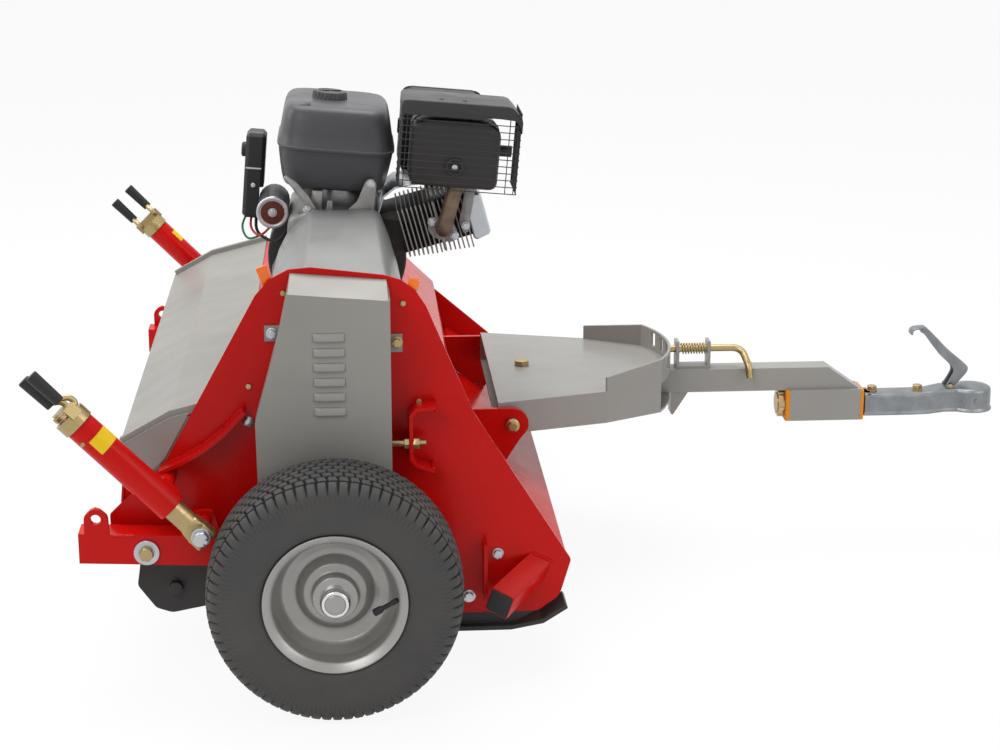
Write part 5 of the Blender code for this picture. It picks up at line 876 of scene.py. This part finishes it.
# ---------------------------------------------------------------- drawbar
# The grey A-frame floats on two pins in the deck's ears. The tongue swings on a bolt behind the curved index
# plate, where a sprung pin holds it in one of five slots.
drawbar_grey = coloured("drawbar_grey", (0.320, 0.311, 0.293), (0.275, 0.266, 0.248), (0.32, 0.46), metal=0.1,
                        grain=480.0, bump=0.1, coat=0.15)
dress("a_frame tongue", drawbar_grey, 0.0014)
dress("hitch_pin_right hitch_pin_left swing_bolt", yellow_zinc, 0.0008)
for label, side in SIDES:
    make("hitch_pin_head_" + label, [dome((-0.076, side * 0.2722, 0.312), (0, side, 0), 0.0128, 0.004)],
         yellow_zinc, "chassis")
PIN_LINE = 0.377
handle = ((0.2480, 0, PIN_LINE), (0.3870, 0, PIN_LINE), (0.3970, -0.0340, PIN_LINE - 0.0280),
          (0.3990, -0.0380, PIN_LINE - 0.0510))
collar = filleted(((0.0, 0.006), (0.0, 0.0081), (0.003, 0.0081), (0.003, 0.006)), 0.0006)
pin = make("index_pin_rod", [tube(filleted(handle, 0.020, 12), 0.0068, 32),
                             lathe(collar, (0.2656, 0, PIN_LINE), ahead, 40)], yellow_zinc, "index_pin")
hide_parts("index_pin")
# The spring is a helix round the pin: nine curls, x in step with the angle.
CURLS, CURL_R, SPRING_FROM, SPRING_LONG = 9, 0.0098, 0.2705, 0.0475
curls = np.linspace(0, 2 * pi * CURLS, CURLS * 36 + 1)
share = curls / curls[-1]
coil = np.stack((SPRING_FROM + SPRING_LONG * share, CURL_R * np.cos(curls), PIN_LINE + CURL_R * np.sin(curls)), axis=-1)
spring = make("index_spring_coil", [tube(coil, 0.0013, 12)], yellow_zinc, "tongue")
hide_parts("index_spring")

# ---------------------------------------------------------------- swivel and ball coupler
# The coupler's shaft turns in an orange nylon bush in a square housing under the tongue, held by a nut at its rear.
# The coupler is pressed from zinc-plated sheet, with a hollow for the ball, and two bolts hold it to the shaft. A
# folded latch lever turns on a rivet between its ears.
orange = coloured("orange_nylon", (0.72, 0.27, 0.018), (0.64, 0.22, 0.012), (0.34, 0.48), grain=500.0, bump=0.1)
copper = coloured("copper_plated", (0.52, 0.27, 0.14), (0.60, 0.42, 0.20), (0.24, 0.38), metal=0.9, patch=50.0)
dress("swivel_bush", orange, 0.0010)
dress("swivel_shaft", yellow_zinc, 0.0010)
plated_steel = coloured("zinc_plated_steel", (0.27, 0.285, 0.295), (0.19, 0.205, 0.215), (0.30, 0.42), metal=0.85,
                        patch=35.0, grain=300.0, bump=0.03, depth=0.0002)
SWIVEL_Z, BOLTS_X = 0.2653, (0.6475, 0.7375)
square = rectangle((-0.0307, -0.0307), (0.0307, 0.0307), 0.005)
flanges = [slab(square, thick, (x, 0.0, SWIVEL_Z), left, up, 0.0012)
           for x, thick in ((0.4728, 0.0086), (0.6184, 0.0070))]
make("bush_flanges", flanges, orange, "tongue")
rod = filleted(((0.4588, 0.0004), (0.4588, 0.0185), (0.4605, 0.0200), (0.6256, 0.0200), (0.6256, 0.0176),
                (0.7543, 0.0176), (0.7545, 0.0004)), 0.0006)
make("swivel_rod", [lathe(rod + (0.0, 0.00012), (0.0, 0.0, SWIVEL_Z), ahead, 64)], yellow_zinc, "coupler")
hexagon = [(0.0326 * cos(pi * k / 3 + 0.3), 0.0326 * sin(pi * k / 3 + 0.3)) for k in range(6)]
make("swivel_nut", [slab(rounded(hexagon, 0.004) * 0.872, 0.0118, (0.4605, 0.0, SWIVEL_Z), left, up, 0.0012)],
     copper, "coupler")
make("coupler_bolts", [bolt((x, 0.0, 0.2870), up, 0.0076, 0.0, 0.25) for x in BOLTS_X], copper, "coupler")
# In plan the coupler is a neck of constant width that widens into a round head: half width = (neck^8 +
# round^8)^(1/8). Its skin runs over that plan in levels, each drawn in by its own inset: from the middle of the top
# outwards, down the side, round the foot, up inside and back to the middle.
HEAD_AT, HEAD_R, NECK_HALF, COUPLER_END = 0.844, 0.041, 0.028, 0.6267
x = np.concatenate(((COUPLER_END, COUPLER_END + 0.0004, COUPLER_END + 0.0015, COUPLER_END + 0.0035),
                    np.linspace(COUPLER_END + 0.03, 0.785, 5), np.linspace(0.790, HEAD_AT, 22)))
round_half = np.sqrt(np.clip(HEAD_R ** 2 - (x - HEAD_AT) ** 2, 0, None))
wide = np.minimum((NECK_HALF ** 8 + round_half ** 8) ** 0.125, HEAD_R)
wide[:4] = NECK_HALF - np.array((0.0035, 0.0018, 0.0006, 0.0))
front = np.linspace(0, pi, 41)[1:-1]
plan = np.concatenate((np.stack((x, -wide), axis=-1),
                       np.stack((HEAD_AT + HEAD_R * np.sin(front), -HEAD_R * np.cos(front)), axis=-1),
                       np.stack((x, wide), axis=-1)[::-1]))
ways = np.roll(plan, -1, 0) - np.roll(plan, 1, 0)
ways /= np.linalg.norm(ways, axis=1)[:, None]
inward = np.stack((-ways[:, 1], ways[:, 0]), axis=-1)
rise = np.clip((plan[:, 0] - 0.745) / 0.030, 0, 1)
rise = rise * rise * (3 - 2 * rise)
TOP, FOOT = 0.2846 + 0.0076 * rise, 0.2424 + 0.0046 * rise
levels = ((0.0150, 0.0003, 1), (0.0100, 0.0, 1), (0.0068, -0.0006, 1), (0.0046, -0.0020, 1), (0.0030, -0.0045, 1),
          (0.0022, -0.0085, 1), (0.0022, 0.0080, 0), (0.0014, 0.0050, 0), (0.0000, 0.0038, 0), (0.0000, 0.0, 0),
          (0.0032, 0.0, 0), (0.0048, 0.0066, 0), (0.0052, -0.0074, 1), (0.0080, -0.0040, 1), (0.0150, -0.0034, 1))
skin = [np.column_stack((plan + inward * inset, (TOP if upper else FOOT) + step)) for inset, step, upper in levels]
skin = [skin[0] * (1, 0, 1), skin[0] * (1, 0.5, 1)] + skin + [skin[-1] * (1, 0.5, 1), skin[-1] * (1, 0, 1)]
crest = lathe(filleted(((0.2915, 0.0330), (0.2927, 0.0300), (0.2946, 0.0230), (0.2958, 0.0120), (0.2960, 0.0004)),
                       0.004, 4), (HEAD_AT, 0, 0), up, 56)
# The ball's cup is a shell between two spheres, cut flat at its foot and top.
cup = [(0.0287, t) for t in np.linspace(radians(-34), radians(86), 14)]
cup += [(0.0258, t) for t in np.linspace(radians(86), radians(-38), 14)]
turn = np.linspace(0, 2 * pi, 48, endpoint=False)
cup_rows = np.array([np.stack((HEAD_AT + r * cos(t) * np.cos(turn), r * cos(t) * np.sin(turn),
                               np.full(48, max(0.2426, min(0.2593 + r * sin(t), 0.2855)))), axis=-1) for r, t in cup])
ears = [plate(rectangle((0.7910, 0.2860), (0.8050, 0.2985), 0.005), 0.0038, y, 0.0008) for y in (-0.0147, 0.0185)]
dimples = [dome((x, -0.0408 + (x - HEAD_AT) ** 2 * 12.2, 0.2700), right, 0.0042, 0.0007) for x in (0.822, 0.846)]
pressed = make("pressed_coupler", [web(np.array(skin), capped=False), crest, web(cup_rows, along=True)] + ears
               + dimples, plated_steel, "coupler", 50)
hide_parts("coupler_body")
washer = filleted(((0.0, 0.004), (0.0, 0.0104), (0.0024, 0.0104), (0.0024, 0.004)), 0.0005, 3)
make("coupler_washers", [lathe(washer, (x, 0.0, 0.2848), up, 32) for x in BOLTS_X], yellow_zinc, "coupler")
cheek = [(0.7340, 0.4045), (0.7420, 0.4128), (0.7480, 0.4118), (0.7640, 0.3960), (0.7900, 0.3690), (0.8150, 0.3480),
         (0.8290, 0.3370), (0.8334, 0.3300), (0.8310, 0.3220), (0.8220, 0.3110), (0.8110, 0.2985), (0.8040, 0.2898),
         (0.7950, 0.2890), (0.7908, 0.2950), (0.7930, 0.3010), (0.7990, 0.3110), (0.8040, 0.3210), (0.8040, 0.3290),
         (0.7985, 0.3370), (0.7830, 0.3500), (0.7660, 0.3710), (0.7520, 0.3900), (0.7430, 0.4000)]
lever = [plate(smoothed(cheek + cheek[:1], 2)[:-1], 0.0028, y, 0.0008) for y in (-0.0098, 0.0126)]
back = smoothed([(0.7175, 0.3985), (0.7182, 0.4060), (0.7240, 0.4112), (0.7420, 0.4128), (0.7480, 0.4118),
                 (0.7640, 0.3960), (0.7900, 0.3690), (0.8150, 0.3480), (0.8290, 0.3370), (0.8334, 0.3300),
                 (0.8310, 0.3220), (0.8220, 0.3110), (0.8140, 0.3020)], 2)
slope_of = np.gradient(back, axis=0)
slope_of /= np.linalg.norm(slope_of, axis=1)[:, None]
under = back + np.stack((slope_of[:, 1], -slope_of[:, 0]), axis=-1) * 0.0030
lever.append(plate(np.concatenate((back, under[::-1])), 0.0246, 0.0123))
handle = make("latch_lever", lever, plated_steel, "coupler_lever", 40)
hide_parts("coupler_lever")
make("lever_rivet", [dome((0.798, y, 0.2955), (0, np.sign(y), 0), 0.0045, 0.0016) for y in (-0.0185, 0.0185)],
     yellow_zinc, "coupler")

# ---------------------------------------------------------------- starter motor
# The electric starter lies along the engine's case: a black steel can whose end shows a zinc-plated ring, a face in
# red-brown primer and the bolt that holds it.
dress("starter_motor", black_paint, 0.0012)
STARTER_END = (-0.120, -0.2848, 0.1163)
primer = coloured("red_brown_primer", (0.120, 0.030, 0.018), (0.090, 0.022, 0.014), (0.45, 0.6), grain=500.0,
                  bump=0.1)
ring = filleted(((-0.004, 0.0281), (0.0030, 0.0281), (0.0042, 0.0268), (0.0042, 0.0225), (0.0026, 0.0218)), 0.0010, 3)
make("starter_ring", tipped([lathe(ring, STARTER_END, right, 48),
                             bolt((-0.120, -0.2868, 0.1163), right, 0.0056, 0.0080)]), bright_zinc, "chassis")
make("starter_face", tipped([lathe([(0.0, 0.0224), (0.0024, 0.0220), (0.0030, 0.0180), (0.0034, 0.0004)],
                                   STARTER_END, right, 48)]), primer, "chassis")

# ---------------------------------------------------------------- recoil starter
# A bowl of black pressed steel is screwed over the engine's left end, with a ring of vent slots round a plastic
# hub. A braided cord comes out of it through a moulded guide, with a plastic handle at its end.
dress("recoil_handle", black_plastic, 0.0025)
VENTS = 20
# Painted shade: the dark inside of each vent slot is a thin black slab on the bowl's face.
slots = []
for t in np.arange(VENTS) * 2 * pi / VENTS:
    slots.append(slab(rectangle((0.040, -0.0042), (0.072, 0.0042), 0.003), 0.0006, (0.0, 0.0604, 0.0),
                      (cos(t), 0.0, sin(t)), (sin(t), 0.0, -cos(t)), 0.0002))
make("recoil_vent_shade", tipped(slots), shadow_black, "chassis")
hub = filleted(((0.0, 0.034), (0.0010, 0.034), (0.0016, 0.028), (0.0016, 0.0004)), 0.001, 3)
make("recoil_hub", tipped([lathe(hub, (0.0, 0.0602, 0.0), left, 48)]), black_plastic, "chassis")
cord_weave = coloured("braided_cord", (0.55, 0.54, 0.50), (0.30, 0.29, 0.27), (0.7, 0.85), patch=400.0, grain=900.0,
                      bump=0.3, depth=0.0003)
housing = filleted(((0.0, 0.1000), (0.0, 0.1278), (0.0660, 0.1278), (0.0685, 0.1262), (0.0950, 0.1262),
                    (0.1175, 0.1205), (0.1350, 0.0800), (0.1350, 0.0330)), 0.005, 5)
BOWL_FOOT = -0.1155
corners, faces = lathe(housing, (0.0, -0.0747, 0.0), left, 128)
corners[:, 2] = np.maximum(corners[:, 2], BOWL_FOOT)
bowl = make("recoil_bowl", tipped([(corners, faces)]), black_paint, "chassis")
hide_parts("recoil_housing")
make("recoil_screws", tipped([bolt((0.1000 * cos(t), 0.0440, 0.1000 * sin(t)), left, 0.0042, 0.0065)
                              for t in (0.6, 1.9, 3.3, 5.9)]), bright_zinc, "chassis")
GRIP = np.array((-0.0700, 0.0600, 0.0770))
PULL = np.array((-0.6, 0.0, 0.8))
# The guide is a ring between two arcs, open on the side that the cord leaves by.
arc = np.radians(np.linspace(77.0, 283.0, 30)) + atan2(PULL[2], PULL[0])
fairlead = np.concatenate([np.stack((GRIP[0] + r * np.cos(t), GRIP[2] + r * np.sin(t)), axis=-1)
                           for r, t in ((0.0104, arc), (0.0067, arc[::-1]))])
make("cord_guide", tipped([plate(fairlead, 0.0150, 0.0628, 0.0006)]), black_plastic, "chassis")
# Painted shade: the dark hole where the cord comes out is a thin black disc.
make("cord_hole_shade", tipped([lathe(((0.0, 0.0062), (0.0008, 0.0060), (0.0008, 0.0004)), (GRIP[0], 0.0488, GRIP[2]), left,
                                32)]), shadow_black, "chassis")
# The cord is short at rest. One end stays behind the guide.
cord_line = GRIP + np.linspace(-0.0074, 0.0040, 49)[:, None] * PULL
starter_cord = make("starter_cord", tipped([tube(cord_line, 0.0018, 16)]), cord_weave, None)
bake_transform(starter_cord)

# ---------------------------------------------------------------- air cleaner
# A black moulded box beside the silencer holds the engine's paper filter. Its lid closes on a raised seam with two
# clips and a wing nut in the middle.
dress("air_cleaner", black_plastic, 0.0025)
wing_nut = filleted(((0.0, 0.0150), (0.0050, 0.0140), (0.0060, 0.0080), (0.0130, 0.0070), (0.0140, 0.0004)), 0.001, 3)
lid_parts = [panel((0.0980, 0.0120, 0.1690), (0.2490, 0.0165, 0.3130), 0.019, 0.0014),
             panel((0.2478, 0.0040, 0.2250), (0.2512, 0.0260, 0.2500), 0.0010, 0.0010),
             panel((0.0958, 0.0040, 0.2250), (0.0992, 0.0260, 0.2500), 0.0010, 0.0010),
             lathe(wing_nut, (0.1735, 0.0448, 0.2410), left, 40),
             panel((0.1555, 0.0500, 0.2385), (0.1915, 0.0590, 0.2435), 0.0020, 0.0012)]
make("cleaner_lid", tipped(lid_parts), black_plastic, "chassis")

# ---------------------------------------------------------------- switch box, throttle lever and leads
# A black plastic box behind the tank carries the engine's switch, and the throttle lever stands beside it. Three
# insulated leads hang from the box down to the starter motor.
dress("control_box throttle_lever", black_plastic, 0.0025)
knob = lathe(filleted(((0.0, 0.013), (0.006, 0.013), (0.008, 0.010), (0.008, 0.0004)), 0.002, 3),
             (-0.1750, -0.178, 0.205), (-1, 0, 0), 32)
make("switch_knob", tipped([knob]), plug_black, "chassis")
make("box_trim", tipped([panel((-0.1730, -0.2112, 0.1760), (-0.1450, -0.2096, 0.1790), 0.0010, 0.0004),
                         bolt((-0.1580, -0.2098, 0.1480), right, 0.0040)]), bright_zinc, "chassis")
red_lead = coloured("red_lead", (0.45, 0.020, 0.012), (0.40, 0.016, 0.010), (0.4, 0.5))
green_lead = coloured("green_lead", (0.03, 0.22, 0.12), (0.025, 0.18, 0.10), (0.4, 0.5))
dark_lead = coloured("dark_lead", (0.02, 0.02, 0.02), (0.03, 0.03, 0.03), (0.45, 0.6))
leads = (("red_lead", red_lead, [(-0.158, -0.190, 0.092), (-0.160, -0.205, 0.070), (-0.140, -0.240, 0.060),
                                 (-0.118, -0.250, 0.090)], 0.0022),
         ("green_lead", green_lead, [(-0.166, -0.185, 0.094), (-0.176, -0.200, 0.070), (-0.162, -0.212, 0.048),
                                     (-0.140, -0.215, 0.060)], 0.0020),
         ("dark_lead", dark_lead, [(-0.150, -0.175, 0.092), (-0.150, -0.200, 0.060), (-0.110, -0.235, 0.050),
                                   (-0.095, -0.240, 0.075)], 0.0028))
for name, finish, path, thick in leads:
    make(name + "_run", tipped([tube(smoothed(path), thick, 10)]), finish, "chassis")

# ---------------------------------------------------------------- studio
# A plain pale floor under soft, even light from four square lamps, as in a studio. The camera stands where the
# photograph's vanishing lines put it.
paper = coloured("studio_floor", (0.93, 0.93, 0.93), (0.92, 0.92, 0.92), (0.6, 0.7), grain=40.0, bump=0.0)


def seen_white(tree, plain, out, share):
    """Camera, glossy and transmission rays see this share of plain white. The other rays see the light as it is."""
    path = tree.nodes.new("ShaderNodeLightPath")
    either = path.outputs["Is Camera Ray"]
    for other in ("Is Glossy Ray", "Is Transmission Ray"):
        step = tree.nodes.new("ShaderNodeMath")
        step.operation = "MAXIMUM"
        tree.links.new(either, step.inputs[0])
        tree.links.new(path.outputs[other], step.inputs[1])
        either = step.outputs["Value"]
    part = tree.nodes.new("ShaderNodeMath")
    part.operation = "MULTIPLY"
    part.inputs[1].default_value = share
    tree.links.new(either, part.inputs[0])
    white = tree.nodes.new("ShaderNodeEmission" if out.bl_idname == "ShaderNodeOutputMaterial"
                           else "ShaderNodeBackground")
    white.inputs["Color"].default_value = (1.0, 1.0, 1.0, 1.0)
    white.inputs["Strength"].default_value = 1.0
    mixed = tree.nodes.new("ShaderNodeMixShader")
    tree.links.new(part.outputs["Value"], mixed.inputs["Fac"])
    tree.links.new(plain, mixed.inputs[1])
    tree.links.new(white.outputs[0], mixed.inputs[2])
    tree.links.new(mixed.outputs["Shader"], out.inputs["Surface"])


nodes = paper.node_tree.nodes
seen_white(paper.node_tree, nodes["Principled BSDF"].outputs["BSDF"], nodes["Material Output"], 0.92)
ends = np.array(((-14.0, -10.0), (14.0, -10.0), (14.0, 16.0), (-14.0, 16.0)))
floor_mesh = bpy.data.meshes.new("floor")
floor_mesh.from_pydata([(x, y, 0.0) for x, y in ends], [], [(0, 1, 2, 3)])
floor_mesh.materials.append(paper)
floor = bpy.data.objects.new("floor", floor_mesh)
bpy.context.scene.collection.objects.link(floor)
world = bpy.data.worlds.new("studio")
world.use_nodes = True
sky = world.node_tree.nodes["Background"]
sky.inputs["Color"].default_value = (1.0, 1.0, 1.0, 1.0)
sky.inputs["Strength"].default_value = 0.36
seen_white(world.node_tree, sky.outputs["Background"], world.node_tree.nodes["World Output"], 1.0)
bpy.context.scene.world = world
for name, place, aim, size, power in (("key", (-2.4, -3.4, 3.6), (0, 0, 0.4), 2.6, 76.0),
                                      ("fill", (3.2, -2.6, 2.4), (0.2, 0, 0.4), 2.4, 36.0),
                                      ("top", (-0.3, 0.9, 4.0), (0, 0, 0.4), 3.0, 140.0),
                                      ("back", (-3.6, 0.8, 2.6), (-0.4, 0, 0.5), 2.2, 52.0)):
    lamp = bpy.data.lights.new(name, "AREA")
    lamp.shape = "SQUARE"
    lamp.size = size
    lamp.energy = power
    stand = bpy.data.objects.new(name, lamp)
    stand.location = place
    stand.rotation_euler = (Vector(aim) - Vector(place)).to_track_quat("-Z", "Y").to_euler()
    bpy.context.scene.collection.objects.link(stand)
lens = bpy.data.cameras.new("camera")
lens.lens, lens.sensor_width = 77.76, 36.0
camera = bpy.data.objects.new("camera", lens)
camera.location = (-0.3640, -3.9886, 1.4471)
camera.rotation_euler = (radians(74.402), 0.0, radians(-4.081))
bpy.context.scene.collection.objects.link(camera)
bpy.context.scene.camera = camera
bpy.context.scene.view_settings.view_transform = "Standard"
